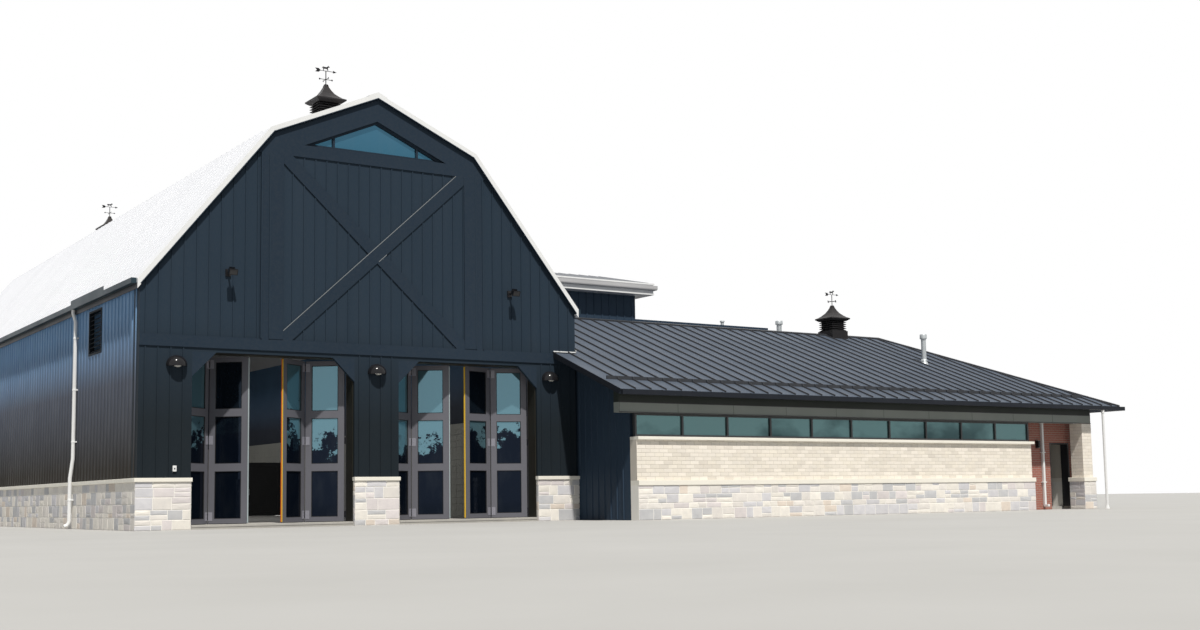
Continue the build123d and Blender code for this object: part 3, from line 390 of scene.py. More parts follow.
def pane(name, low_reflection, high_reflection, low, high, mirrored=None):
    """Coated glass that mirrors, with a painted reflection as its colour: one tint near the ground and another
    one higher up.
    """
    tree, shader = blank(name)[1:]
    film = grain(tree, 3.0, (1, 1, 0.4))
    share = height(tree, low, high)
    if mirrored:
        share = mirrored(tree, share)
    # The glass's colour is painted reflection: one tint low down, another higher up.
    colour = mix(tree, share, low_reflection, high_reflection)
    colour = mix(tree, span(tree, film, 0.45, 0.8, 0.0, 0.06), colour, (0.16, 0.18, 0.19))
    settle(tree, shader, colour, span(tree, film, 0.3, 0.8, 0.03, 0.09),
           {"Metallic": 0.6, "Transmission Weight": 0.1, "IOR": 1.5, "Specular IOR Level": 0.1})


def patches(tree, share):
    """Painted reflection for the wing's windows: soft, uneven patches of a brighter sky."""
    cloud = span(tree, grain(tree, 0.42, (1, 1, 1.7)), 0.40, 0.60)
    return span(tree, times(tree, share, cloud, "ADD"), 0.45, 1.25)


def skyline(tree, share):
    """Painted reflection for the bay doors: a dark and ragged skyline under the sky, and two stretches without
    sky.
    """
    crowns = grain(tree, 0.75, (1, 1, 1.2), 9.0, 0.72)
    sky = span(tree, times(tree, share, span(tree, crowns, 0.36, 0.64, 0.40, -0.40), "ADD"), 0.43, 0.48)
    # Two stretches of leaves painted dark, a painted reflection of the dark hall where no sky shows.
    right = times(tree, across(tree, 2.88, 3.88), height(tree, 2.7, 2.9))
    shade = times(tree, across(tree, -4.08, -3.27), right, "ADD")
    return times(tree, sky, span(tree, shade, 0.0, 1.0, 1.0, 0.03))


# Each look: material name, tint, other tint, dirt, share of dirt, scale of the grain, roughness, bump, specular
FINISHES = {
    # Gable boards: the fade to a darker, browner foot between 2.6 and 5.2 m is painted reflection of the ground.
    "board": ("slate_board", (0.018, 0.031, 0.0475), (0.0225, 0.037, 0.056), (0.038, 0.048, 0.06), 0.16,
        60, (0.5, 0.66), 0.25, 0.06, {"stretch": (1, 1, 0.12), "reflection_fades": ((2.6, 5.2, (0.62, 0.54, 0.46)),)}),
    "trim": ("slate_trim", (0.0165, 0.0275, 0.0425), (0.02, 0.0325, 0.05), (0.036, 0.045, 0.056), 0.12,
        50, (0.46, 0.62), 0.18, 0.06, {"stretch": (0.3, 0.3, 0.3)}),
    "ribbed": ("ribbed_siding", (0.026, 0.045, 0.074), (0.03, 0.051, 0.08), (0.044, 0.056, 0.072), 0.15,
        120, (0.36, 0.5), 0.08, 0.06),
    # Hall siding: the bright blue tint is painted sky sheen on charcoal metal, and the two fades towards a dark
    # brown foot are painted reflection of trees and ground.
    "sheen_painted_siding": ("hall_siding_painted_sheen", (0.18, 0.32, 0.52), (0.155, 0.275, 0.455), (0.13, 0.21, 0.31), 0.2,
        120, (0.4, 0.54), 0.08, 0.03, {"cloud": 0.9,
         "reflection_fades": ((3.6, 5.3, (0.6, 0.4, 0.33)), (1.5, 4.2, (0.38, 0.3, 0.2)))}),
    "stone_bed": ("stone_mortar", (0.88, 0.86, 0.81), (0.82, 0.8, 0.75), (0.64, 0.61, 0.56), 0.2,
        150, (0.8, 0.92), 0.5, 0.2),
    "stone": ("ashlar_stone", (1.0, 0.99, 0.98), (0.9, 0.9, 0.91), (0.74, 0.7, 0.65), 0.22,
        70, (0.7, 0.88), 0.7, 0.25, {"cloud": 5.0, "bump_depth": 0.006, "dust": 0.12, "tones": 1.0}),
    "cream_brick": ("cream_brick", (1.0, 0.99, 0.97), (0.92, 0.92, 0.91), (0.74, 0.7, 0.64), 0.22,
        160, (0.72, 0.86), 0.45, 0.5, {"cloud": 3.0, "dust": 0.1, "tones": 1.0}),
    "red_brick": ("red_brick", (1.0, 0.98, 0.97), (0.88, 0.86, 0.86), (0.8, 0.74, 0.7), 0.18,
        150, (0.7, 0.85), 0.5, 0.2, {"cloud": 4.0, "tones": 1.0}),
    "stone_cap": ("cast_cap", (0.84, 0.81, 0.73), (0.79, 0.76, 0.68), (0.62, 0.59, 0.51), 0.2,
        180, (0.62, 0.78), 0.25, 0.5),
    "concrete": ("floor_concrete", (0.44, 0.42, 0.38), (0.36, 0.35, 0.33), (0.22, 0.21, 0.2), 0.3,
        90, (0.6, 0.8), 0.3, 0.5),
    "pale_roof": ("pale_roof_metal", (0.79, 0.8, 0.83), (0.75, 0.76, 0.79), (0.64, 0.66, 0.69), 0.12,
        70, (0.3, 0.44), 0.05, 0.5, {"cloud": 0.35}),
    "white_trim": ("white_folded_metal", (0.8, 0.81, 0.81), (0.74, 0.75, 0.76), (0.55, 0.54, 0.5), 0.2,
        90, (0.28, 0.42), 0.05, 0.5),
    "gutter": ("gutter_metal", (0.028, 0.05, 0.066), (0.022, 0.04, 0.054), (0.06, 0.075, 0.085), 0.2,
        80, (0.3, 0.45), 0.06, 0.08),
    "grey_roof": ("charcoal_roof_metal", (0.074, 0.093, 0.126), (0.06, 0.076, 0.104), (0.1, 0.11, 0.12), 0.2,
        80, (0.46, 0.6), 0.06, 0.08, {"cloud": 0.5}),
    "grey_cap": ("charcoal_ridge_metal", (0.034, 0.038, 0.046), (0.028, 0.031, 0.038), (0.07, 0.07, 0.07), 0.2,
        80, (0.4, 0.55), 0.06, 0.2),
    "door_frame": ("mauve_frame", (0.135, 0.136, 0.158), (0.118, 0.119, 0.139), (0.085, 0.083, 0.092), 0.22,
        110, (0.34, 0.48), 0.06, 0.3),
    "bay_lining": ("olive_lining", (0.012, 0.014, 0.011), (0.018, 0.019, 0.015), (0.045, 0.032, 0.022), 0.25,
        110, (0.38, 0.52), 0.06, 0.15),
    "plate_metal": ("mauve_plate", (0.27, 0.27, 0.31), (0.22, 0.22, 0.26), (0.12, 0.12, 0.14), 0.25,
        140, (0.26, 0.38), 0.08, 0.5),
    "pale_edge": ("pale_door_edge", (0.42, 0.5, 0.52), (0.36, 0.43, 0.45), (0.22, 0.25, 0.26), 0.2,
        90, (0.4, 0.55), 0.05, 0.5),
    "orange_edge": ("orange_rubber", (0.74, 0.17, 0.03), (0.64, 0.14, 0.026), (0.3, 0.08, 0.02), 0.25,
        90, (0.45, 0.6), 0.05, 0.2),
    "yellow_edge": ("yellow_rubber", (0.8, 0.52, 0.045), (0.7, 0.44, 0.04), (0.34, 0.2, 0.03), 0.25,
        90, (0.45, 0.6), 0.05, 0.2),
    "pale_seam": ("pale_seam_metal", (0.68, 0.69, 0.72), (0.63, 0.64, 0.67), (0.5, 0.52, 0.55), 0.15,
        70, (0.34, 0.46), 0.05, 0.3),
    "rubber": ("black_rubber", (0.012, 0.012, 0.013), (0.018, 0.018, 0.019), (0.04, 0.04, 0.038), 0.2,
        140, (0.55, 0.7), 0.1, 0.2),
    "painted_block": ("painted_block", (0.52, 0.52, 0.47), (0.46, 0.46, 0.42), (0.34, 0.33, 0.3), 0.2,
        160, (0.6, 0.8), 0.4, 0.3),
    "louvre_black": ("louvre_black", (0.01, 0.015, 0.021), (0.014, 0.019, 0.026), (0.03, 0.032, 0.034), 0.2,
        110, (0.45, 0.6), 0.06, 0.03),
    "wing_gutter": ("wing_gutter_metal", (0.011, 0.014, 0.02), (0.015, 0.018, 0.025), (0.035, 0.036, 0.038), 0.2,
        80, (0.34, 0.48), 0.06, 0.08),
    # Pale strips on the brace edges: a painted highlight.
    "lit_edge": ("painted_highlight_edge", (0.2, 0.215, 0.225), (0.17, 0.185, 0.195), (0.09, 0.1, 0.11), 0.2,
        90, (0.5, 0.6), 0.08, 0.2),
    "dark_seam": ("dark_seam_metal", (0.04, 0.042, 0.048), (0.05, 0.052, 0.058), (0.075, 0.072, 0.07), 0.15,
        90, (0.4, 0.55), 0.05, 0.06),
    "dark_lens": ("dark_lens", (0.05, 0.05, 0.052), (0.04, 0.04, 0.043), (0.02, 0.02, 0.02), 0.1,
        60, (0.12, 0.2), 0.02, 0.3),
    "block_roof": ("block_roof_metal", (0.74, 0.75, 0.77), (0.69, 0.7, 0.72), (0.55, 0.55, 0.54), 0.15,
        80, (0.34, 0.48), 0.05, 0.3, {"above": (7.822, 7.832, 1.0, (0.47, 0.48, 0.5), "MULTIPLY")}),
    "block_gutter": ("pale_gutter_metal", (0.5, 0.5, 0.51), (0.44, 0.44, 0.45), (0.32, 0.32, 0.31), 0.2,
        80, (0.3, 0.42), 0.06, 0.3),
    "lens": ("milky_lens", (0.55, 0.55, 0.52), (0.48, 0.48, 0.46), (0.35, 0.34, 0.31), 0.1,
        60, (0.15, 0.25), 0.02, 0.5),
    "window_frame": ("black_frame", (0.014, 0.015, 0.018), (0.02, 0.021, 0.024), (0.05, 0.05, 0.05), 0.2,
        110, (0.32, 0.46), 0.05, 0.5),
    "black_metal": ("black_enamel", (0.008, 0.008, 0.01), (0.011, 0.011, 0.013), (0.028, 0.027, 0.026), 0.12,
        60, (0.12, 0.2), 0.03, 0.22),
    "cupola_metal": ("cupola_sheet", (0.016, 0.018, 0.022), (0.022, 0.023, 0.026), (0.075, 0.05, 0.034), 0.25,
        60, (0.34, 0.5), 0.08, 0.15),
    "cupola_slat": ("cupola_slats", (0.012, 0.013, 0.016), (0.017, 0.018, 0.021), (0.05, 0.038, 0.03), 0.2,
        60, (0.38, 0.52), 0.08, 0.1),
    "steel": ("galvanized", (0.52, 0.55, 0.56), (0.44, 0.47, 0.49), (0.33, 0.35, 0.36), 0.25,
        70, (0.35, 0.52), 0.06, 0.5, {"cloud": 9.0, "metal": 0.55}),
    "mortar": ("pale_mortar", (0.6, 0.56, 0.49), (0.54, 0.5, 0.44), (0.42, 0.39, 0.34), 0.2,
        200, (0.82, 0.94), 0.5, 0.5),
    "red_mortar": ("grey_mortar", (0.42, 0.37, 0.33), (0.36, 0.32, 0.29), (0.24, 0.22, 0.2), 0.2,
        200, (0.82, 0.94), 0.5, 0.5),
    "frieze": ("two_tone_panel", (0.238, 0.262, 0.239), (0.208, 0.23, 0.209), (0.26, 0.26, 0.25), 0.2,
        90, (0.4, 0.55), 0.06, 0.2, {"above": (3.146, 3.15, 0.95, (0.012, 0.016, 0.013), "MIX")}),
}

# Each pane: material name, lower tint, upper tint, the heights between them, and what the glass mirrors. The
# tints and the mirrored patterns are painted reflection.
PANES = {
    "glass": ("window_glass_painted_sky", (0.044, 0.086, 0.092), (0.118, 0.215, 0.220), 1.9, 3.1, patches),
    "gable_glass": ("gable_glass", (0.042, 0.138, 0.210), (0.054, 0.155, 0.235), 9.8, 10.6),
    "door_glass": ("door_glass", (0.0062, 0.0108, 0.0215), (0.136, 0.262, 0.318), 1.45, 3.6, skyline),
}
COLUMNS = 9

NODES_BY_LOOK = {
    "concrete": "hall_floor wing_floor",
    "board": "front_gable_wall rear_gable_wall front_piers",
    "stone_bed": "front_stone_bases left_stone_base right_stone_base rear_stone_base wing_stone_base",
    "stone_cap": "stone_caps wing_sill_cap",
    "sheen_painted_siding": "left_wall right_wall",
    "ribbed": "wing_left_return raised_block roof_screen",
    "louvre_black": "side_louvre",
    "pale_roof": "lower_roof upper_roof",
    "white_trim": "ridge_cap rake_boards downspouts",
    "block_roof": "raised_block_roof",
    "trim": "gable_trim cross_braces bay_corner_boards gable_window_frames",
    "gable_glass": "gable_window_glass",
    "door_glass": "bay_door_glass",
    "glass": "wing_window_glass",
    "door_frame": "bay_door_frames left_bay_doors right_bay_doors",
    "black_metal": "bay_door_hinges wall_lamps vane_masts front_wind_vane rear_wind_vane wing_wind_vane",
    "grey_cap": "snow_guard",
    "cupola_slat": "cupola_bodies",
    "cupola_metal": "cupola_roofs",
    "gutter": "hall_gutters",
    "wing_gutter": "wing_gutters",
    "steel": "vent_pipes",
    "mortar": "wing_front_wall porch_column wing_end_wall wing_rear_wall",
    "red_mortar": "porch_brick_wall",
    "frieze": "wing_frieze",
    "window_frame": "wing_window_frames doorway_frames",
    "grey_roof": "wing_roof_front wing_roof_rear wing_roof_end",
}
NODE_LOOKS = {node: look for look, nodes in NODES_BY_LOOK.items() for node in nodes.split()}


def finish(look):
    """The material of a look, built on its first use, in the tint of the settings where they have one."""
    row = PANES.get(look) or FINISHES[look]
    name, tint, *others = row[:COLUMNS]
    if name not in bpy.data.materials:
        if look in PANES:
            pane(*row)
        else:
            tint = tuple(getattr(bpy.context.scene.station, look + "_tint", tint))
            surface(name, tint, *others, **dict(*row[COLUMNS:]))
    return bpy.data.materials[name]


def distance(name, description, default):
    """A setting measured as a length."""
    return bpy.props.FloatProperty(name=name, description=description, default=default, unit="LENGTH")


def main_tint(name, description, look):
    """A setting for the main tint of a look, named after the look."""
    return bpy.props.FloatVectorProperty(name=name, description=description, subtype="COLOR", size=3,
                                         min=0.0, max=1.0, default=FINISHES[look][1])


class StationSettings(bpy.types.PropertyGroup):
    batten_step: distance("Batten step", "Distance between battens on the gables", 0.308)
    rib_step: distance("Rib step", "Distance between ribs of the metal siding", 0.305)
    hall_seam_step: distance("Hall seam step", "Distance between standing seams on the hall", 0.43)
    wing_seam_step: distance("Wing seam step", "Distance between standing seams on the wing", SEAM_STEP)
    board_tint: main_tint("Gable boards", "Colour of the boards and battens on the gables", "board")
    trim_tint: main_tint("Gable trim", "Colour of the braces, bands and corner boards", "trim")
    # This tint is the hall siding's painted sky sheen, not the metal's own charcoal.
    sheen_painted_siding_tint: main_tint("Hall siding", "Colour of the ribbed metal on the hall's sides", "sheen_painted_siding")
    pale_roof_tint: main_tint("Hall roof", "Colour of the hall's roof sheets", "pale_roof")
    grey_roof_tint: main_tint("Wing roof", "Colour of the wing's roof sheets", "grey_roof")
    door_frame_tint: main_tint("Bay doors", "Colour of the folding leaves and their frames", "door_frame")
    sun_strength: bpy.props.FloatProperty(
        name="Sun strength", description="Irradiance of the key light", default=4.3)
    sky_strength: bpy.props.FloatProperty(
        name="Sky strength", description="Brightness of the surrounding light", default=0.26)


class STATION_OT_stage(bpy.types.Operator):
    """Places the floor, the lights and the camera of the reference view"""
    bl_idname = "station.stage"
    bl_label = "Stage, lights and camera"

    def execute(self, context):
        settings = context.scene.station
        floor = primitive("stage_floor", bpy.ops.mesh.primitive_grid_add, x_subdivisions=4, y_subdivisions=4,
                          size=400, location=(8, 0, -0.001))
        ground, tree, shader = blank("stage_ground")
        tone = span(tree, grain(tree, 0.3), 0.3, 0.7)
        feed(tree, mix(tree, tone, (0.42, 0.415, 0.40), (0.45, 0.445, 0.43)), shader.inputs["Base Color"])
        shader.inputs["Roughness"].default_value = 0.85
        floor.data.materials.append(ground)
        sun = primitive("key_sun", bpy.ops.object.light_add, applied=False, type="SUN", location=(-20, -40, 40))
        sun.data.energy = settings.sun_strength
        sun.data.angle = math.radians(1.6)
        sun.data.color = (1.0, 0.965, 0.91)
        elevation, sideways = math.radians(57), math.radians(15)
        toward = Vector((-math.sin(sideways) * math.cos(elevation), -math.cos(sideways) * math.cos(elevation),
                         math.sin(elevation)))
        sun.rotation_euler = toward.to_track_quat("Z", "Y").to_euler()
        inside = primitive("hall_light", bpy.ops.object.light_add, applied=False, type="AREA",
                           location=(0, 1.0, 5.4))
        inside.data.shape = "RECTANGLE"
        inside.data.size, inside.data.size_y = 7.0, 24.0
        inside.data.energy = 260.0
        world = bpy.data.worlds.new("studio")
        context.scene.world = world
        world.use_nodes = True
        tree = world.node_tree
        sky = tree.nodes["Background"]
        sky.inputs["Color"].default_value = (0.80, 0.89, 1.0, 1)
        sky.inputs["Strength"].default_value = settings.sky_strength
        plain = add(tree, "Background", Strength=1.0, Color=(1, 1, 1, 1))
        path = add(tree, "LightPath")
        seen = times(tree, path.outputs["Is Camera Ray"], path.outputs["Is Glossy Ray"], "ADD")
        seen = times(tree, seen, path.outputs["Is Transmission Ray"], "ADD")
        both = add(tree, "MixShader")
        for source, socket in ((span(tree, seen, 0.0, 1.0), both.inputs["Fac"]),
                               (sky.outputs["Background"], both.inputs[1]),
                               (plain.outputs["Background"], both.inputs[2]),
                               (both.outputs["Shader"], tree.nodes["World Output"].inputs["Surface"])):
            tree.links.new(source, socket)
        camera = primitive("photo_camera", bpy.ops.object.camera_add, applied=False,
                           location=(-16.218, -49.421, 0.600))
        camera.rotation_euler = (Matrix.Rotation(math.radians(-33.948), 4, "Z")
                                 @ Matrix.Rotation(math.radians(90 + 5.782), 4, "X")
                                 @ Matrix.Rotation(math.radians(-0.874), 4, "Z")).to_euler()
        camera.data.sensor_width = 36
        camera.data.lens = 43.41
        camera.data.shift_y = 0.0307
        camera.data.clip_end = 500
        context.scene.camera = camera
        context.scene.view_settings.view_transform = "Standard"
        return {"FINISHED"}


class STATION_OT_finishes(bpy.types.Operator):
    """Gives every carried-over node its finish"""
    bl_idname = "station.finishes"
    bl_label = "Finishes of the model's nodes"

    def execute(self, context):
        for name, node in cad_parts.items():
            if name not in NODE_LOOKS:
                self.report({"ERROR"}, f"no finish is set for {name}")
                return {"CANCELLED"}
            node.data.materials.clear()
            node.data.materials.append(finish(NODE_LOOKS[name]))
        return {"FINISHED"}


def open_spans(u, wide, low, high, holes):
    """What is left of a strip at u between two heights, beside the holes (u0, u1, z0, z1)."""
    spans = [(low, high)]
    for u0, u1, z0, z1 in holes:
        if u + wide < u0 or u > u1:
            continue
        left = []
        for a, b in spans:
            if a < z0:
                left.append((a, min(b, z0)))
            if b > z1:
                left.append((max(a, z1), b))
        spans = [(a, b) for a, b in left if b - a > 0.02]
    return tuple(spans)


def upright_strips(name, axis, face, way, places, wide, proud, low, high, holes=(), crest=0.6):
    """Upright strips on a wall that looks along +X, -X, +Y or -Y, split round its holes."""
    other = 1 - axis
    groups = []
    for u in places:
        spans = open_spans(u, wide, low, high, holes)
        if groups and groups[-1][1] == spans:
            groups[-1][0].append(u)
        else:
            groups.append(([u], spans))
    rows = []
    for members, spans in groups:
        for a, b in spans:
            near, far = [0, 0, a], [0, 0, b]
            near[axis], far[axis] = sorted((face - way * 0.004, face + way * proud))
            near[other], far[other] = members[0], members[0] + wide
            outward, share, step = [0, 0, 0], [1, 1, 1], [0, 0, 0]
            outward[axis], share[other] = way, crest
            strip = taper(block(name, near, far), outward, share)
            if len(members) > 1:
                step[other] = members[1] - members[0]
                array(strip, len(members), step)
            rows.append(strip)
    return join(rows, name)


def steps_between(first, last, step, phase=0.0):
    """Places from first to last that are a whole number of steps from the phase."""
    start = math.ceil((first - phase) / step)
    stop = math.floor((last - phase) / step)
    return [phase + step * i for i in range(start, stop + 1)]


class STATION_OT_battens(bpy.types.Operator):
    """Battens over the joints of the boards, on both gables and on the piers between the bays"""
    bl_idname = "station.battens"
    bl_label = "Battens"

    def execute(self, context):
        step = context.scene.station.batten_step
        wide, proud, crest, clear = 0.038, 0.020, 0.8, 0.05
        phase = 0.118 - wide / 2
        inside, beside_door, pier_top = HALF - 0.04, 4.93, 4.42
        rows = [("front_gable_battens", FRONT, -1, -inside, inside, BAND_Z, BEAM_Z + 0.01),
                ("rear_gable_battens", REAR, 1, -inside, inside, CAP_Z, BEAM_Z + 0.01),
                ("left_pier_battens", FRONT, -1, -HALF + 0.03, -beside_door, CAP_Z, pier_top),
                ("middle_pier_battens", FRONT, -1, -0.60, 0.60, CAP_Z, pier_top),
                ("right_pier_battens", FRONT, -1, beside_door, HALF - 0.03, CAP_Z, pier_top)]
        for name, face, way, first, last, low, high in rows:
            places = steps_between(first, last - wide, step, phase)
            strips = upright_strips(name, 1, face, way, places, wide, proud, low, high, crest=crest)
            if high > BEAM_Z:
                for side in (-1, 1):
                    out = (side * math.sin(LOWER_LEAN), 0, math.cos(LOWER_LEAN))
                    cut(strips, (side * KNEE_X - clear * out[0], 0, KNEE_Z - clear * out[2]), out)
            done(strips, "board")
        return {"FINISHED"}


class STATION_OT_ribs(bpy.types.Operator):
    """Ribs of the metal siding on the hall's sides, the raised block, the screen and the wing's return"""
    bl_idname = "station.ribs"
    bl_label = "Siding ribs"

    def execute(self, context):
        step = context.scene.station.rib_step
        wide, proud = 0.060, 0.022
        louvre = (-11.60, -10.33, 4.50, 5.73)
        door = (6.68, 8.26, 0.0, 2.33)
        low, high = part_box("raised_block")
        block_x, block_y = (low.x + 0.04, high.x - 0.10), (low.y + 0.04, high.y - 0.10)
        block_z = (3.9, high.z - 0.01)
        near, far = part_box("roof_screen")
        start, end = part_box("wing_left_return")
        over_front = (lifted(FRONT_EAVE, 0.01), (0, WING_SIN, -WING_COS))
        over_rear = (lifted(REAR_EAVE, 0.01), (0, -WING_SIN, -WING_COS))
        under_front = (lifted(FRONT_EAVE, -0.155), FRONT_OUT)
        wall, top, behind, hall = (CAP_Z, SIDING_TOP), (3.2, SIDING_TOP), REAR - 0.1, "sheen_painted_siding"
        for name, axis, face, way, (first, last), levels, look, slope, holes in (
                ("left_wall_ribs", 0, -HALF, -1, (FRONT + 0.05, behind), wall, hall, None, (louvre,)),
                ("right_wall_ribs", 0, HALF, 1, (WING_REAR + 0.03, behind), wall, hall, None, (door,)),
                ("right_wall_ribs_front", 0, HALF, 1, (FRONT + 0.05, -11.95), top, hall, over_front, ()),
                ("right_wall_ribs_mid", 0, HALF, 1, (-4.30, WING_REAR - 0.1), top, hall, over_rear, ()),
                ("block_ribs_front", 1, low.y, -1, block_x, block_z, "ribbed", over_rear, ()),
                ("block_ribs_rear", 1, high.y, 1, block_x, block_z, "ribbed", over_rear, ()),
                ("block_ribs_right", 0, high.x, 1, block_y, block_z, "ribbed", over_rear, ()),
                ("screen_ribs", 1, near.y, -1, (near.x + 0.04, far.x - 0.1), (near.z, far.z - 0.02), "ribbed",
                 over_rear, ()),
                ("return_ribs", 0, start.x, -1, (start.y + 0.04, end.y - 0.08), (0.02, end.z), "ribbed",
                 under_front, ())):
            places = steps_between(first, last, step)
            rows = upright_strips(name, axis, face, way, places, wide, proud, *levels, holes)
            if slope:
                cut(rows, *slope)
            done(rows, look)
        return {"FINISHED"}


def seams(name, origin, along, up, length, places, wide, tall):
    """Standing seams up a slope, at places along its eave."""
    seam = block(name, (places[0] - wide / 2, 0.0, -0.004), (places[0] + wide / 2, length, tall))
    taper(seam, UP, (0.5, 1, 1))
    if len(places) > 1:
        array(seam, len(places), (places[1] - places[0], 0, 0))
    return place(seam, slope_frame(origin, along, up))


class STATION_OT_hall_seams(bpy.types.Operator):
    """Standing seams on the four slopes of the hall's roof"""
    bl_idname = "station.hall_seams"
    bl_label = "Hall roof seams"

    def execute(self, context):
        step = context.scene.station.hall_seam_step
        count = int((REAR - FRONT - 0.1) / step)
        places = [0.06 + (REAR - FRONT - count * step) / 2 + step * i for i in range(count)]
        for side, tag in ((-1, "left"), (1, "right")):
            start = FRONT if side > 0 else REAR
            for name, x, z, lean, run in (("lower", EAVE_X, EAVE_Z, LOWER_LEAN, LOWER_RUN),
                                          ("upper", KNEE_X, KNEE_Z, UPPER_LEAN, UPPER_RUN - 0.10)):
                rows = seams(f"{tag}_{name}_seams", (side * x, start, z), (0, side, 0),
                             (-side * math.cos(lean), 0, math.sin(lean)), run, places, 0.028, 0.030)
                done(rows, "pale_seam")
        return {"FINISHED"}


class STATION_OT_wing_seams(bpy.types.Operator):
    """Standing seams on the wing's three slopes, cut at the hips and beside the hall and the block"""
    bl_idname = "station.wing_seams"
    bl_label = "Wing roof seams"

    def execute(self, context):
        step = context.scene.station.wing_seam_step
        block_right, block_rear = 12.15, -4.38
        run = math.hypot(WING_RISE, WING_RIDGE[0] - WING_EAVE[0]) - 0.05
        end_run = math.hypot(WING_RISE, HIP_X - RIDGE_END_X) - 0.02
        short = (FRONT - WING_EAVE[0]) / WING_COS - 0.02
        low_run = (WING_REAR - block_rear) / WING_COS - 0.02
        ahead = steps_between(WING_LEFT + 0.05, HIP_X - 0.2, step, SEAM_PHASE)
        back = [-x for x in reversed(ahead)]
        free, beside = [u for u in back if u < -block_right], [u for u in back if u > -block_right]
        left = steps_between(5.50, WING_LEFT + 0.04, step, SEAM_PHASE)
        along = steps_between(WING_EAVE[0] + 0.2, WING_REAR - 0.2, step, WING_RIDGE[0])
        front_hip, rear_hip = (HIP_X, WING_EAVE[0], 0), (HIP_X, WING_REAR, 0)
        x, y = HIP_PLAN.x, HIP_PLAN.y
        for name, eave, way, up, length, places, hips in (
                ("wing_front_seams", FRONT_EAVE, RIGHT, FRONT_UP, run, ahead, ((front_hip, (y, -x, 0)),)),
                ("wing_left_seam", FRONT_EAVE, RIGHT, FRONT_UP, short, left, ()),
                ("wing_rear_seams", REAR_EAVE, LEFT, REAR_UP, run, free, ((rear_hip, (y, x, 0)),)),
                ("wing_rear_low_seams", REAR_EAVE, LEFT, REAR_UP, low_run, beside, ()),
                ("wing_end_seams", END_EAVE, BACKWARD, END_UP, end_run, along,
                 ((front_hip, (-y, x, 0)), (rear_hip, (-y, -x, 0))))):
            rows = seams(name, eave, way, up, length, places, 0.034, 0.042)
            for hip, normal in hips:
                cut(rows, hip, normal)
            done(rows, "dark_seam")
        return {"FINISHED"}


def folded_strip(name, origin, along, normal, length, wide, tall):
    """A flat metal strip with a lip, lying on a slope along a line, to the left of its direction."""
    x, z = Vector(along).normalized(), Vector(normal).normalized()
    strip = taper(block(name, (0, -0.004, 0.0), (length, wide, tall)), UP, (1, 0.86, 1))
    return place(strip, slope_frame(origin, x, z.cross(x)))


class STATION_OT_wing_caps(bpy.types.Operator):
    """Ridge and hip caps of the wing, and the flashings where its roof meets the hall"""
    bl_idname = "station.wing_caps"
    bl_label = "Wing ridge, hips and flashings"

    def execute(self, context):
        start, end = Vector((WING_LEFT, *WING_RIDGE)), Vector((RIDGE_END_X, *WING_RIDGE))
        front, rear = Vector(lifted(FRONT_EAVE, 0)), Vector(lifted(REAR_EAVE, 0))
        front.x = rear.x = HIP_X
        flat, hip = (end - start).length, (end - front).length
        strips = [folded_strip("cap", a, b - a, out, length, 0.11, 0.046) for a, b, out, length in (
            (end, start, FRONT_OUT, flat), (start, end, REAR_OUT, flat), (front, end, FRONT_OUT, hip),
            (end, front, END_OUT, hip), (end, rear, REAR_OUT, hip), (rear, end, END_OUT, hip))]
        done(join(strips, "wing_ridge_caps"), "grey_cap")
        at_wall = WING_EAVE[1] + (FRONT - WING_EAVE[0]) * math.tan(WING_LEAN)
        flash = block("front_flashing", (5.46, FRONT - 0.030, at_wall - 0.01),
                      (HALF, FRONT + 0.002, at_wall + 0.035))
        done(taper(flash, FORWARD, (1, 1, 0.5)), "white_trim")
        corner = (WING_LEFT - 0.06, FRONT, at_wall)
        side = folded_strip("side_flashing", corner, FRONT_UP, RIGHT, 3.3, 0.09, 0.02)
        done(side, "white_trim")
        return {"FINISHED"}


def wall_frame(side, plane):
    """Local axes of a wall: X to the right as seen from outside, Y inwards, Z up."""
    angle = {"front": 0, "right": 90, "rear": 180, "left": -90}[side]
    origin = (plane, 0, 0) if side in ("left", "right") else (0, plane, 0)
    return Matrix.Translation(origin) @ Matrix.Rotation(math.radians(angle), 4, "Z")


def sheet_of(name, u0, u1, z0, z1):
    """A flat face in the wall's own axes, seen from outside."""
    return primitive(name, bpy.ops.mesh.primitive_plane_add, (u1 - u0, z1 - z0, 1), size=1,
                     rotation=(math.pi / 2, 0, 0), location=((u0 + u1) / 2, 0, (z0 + z1) / 2))


def split_at(obj, places, normal):
    """Splits every face of obj at the given places along X or Z."""
    edit(obj)
    for where in places:
        bpy.ops.mesh.select_all(action="SELECT")
        bpy.ops.mesh.bisect(plane_co=[where * n for n in normal], plane_no=normal)
    leave()


def raise_blocks(obj, joint, edge, proud, crown=0.0, wobble=0.0):
    """Turns each face into a block of its own: a joint round it, sloped edges and a face that stands proud."""
    edit(obj, action="SELECT")
    bpy.ops.mesh.edge_split(type="EDGE")
    bpy.ops.mesh.inset(thickness=joint / 2, use_individual=True)
    bpy.ops.mesh.select_all(action="INVERT")
    bpy.ops.mesh.delete(type="FACE")
    bpy.ops.mesh.select_all(action="SELECT")
    bpy.ops.mesh.inset(thickness=edge, depth=proud, use_individual=True)
    if crown:
        bpy.ops.mesh.poke(offset=crown)
    if wobble:
        bpy.ops.transform.vertex_random(offset=wobble, uniform=0.3, normal=0.6, seed=7)
    leave()
    return obj


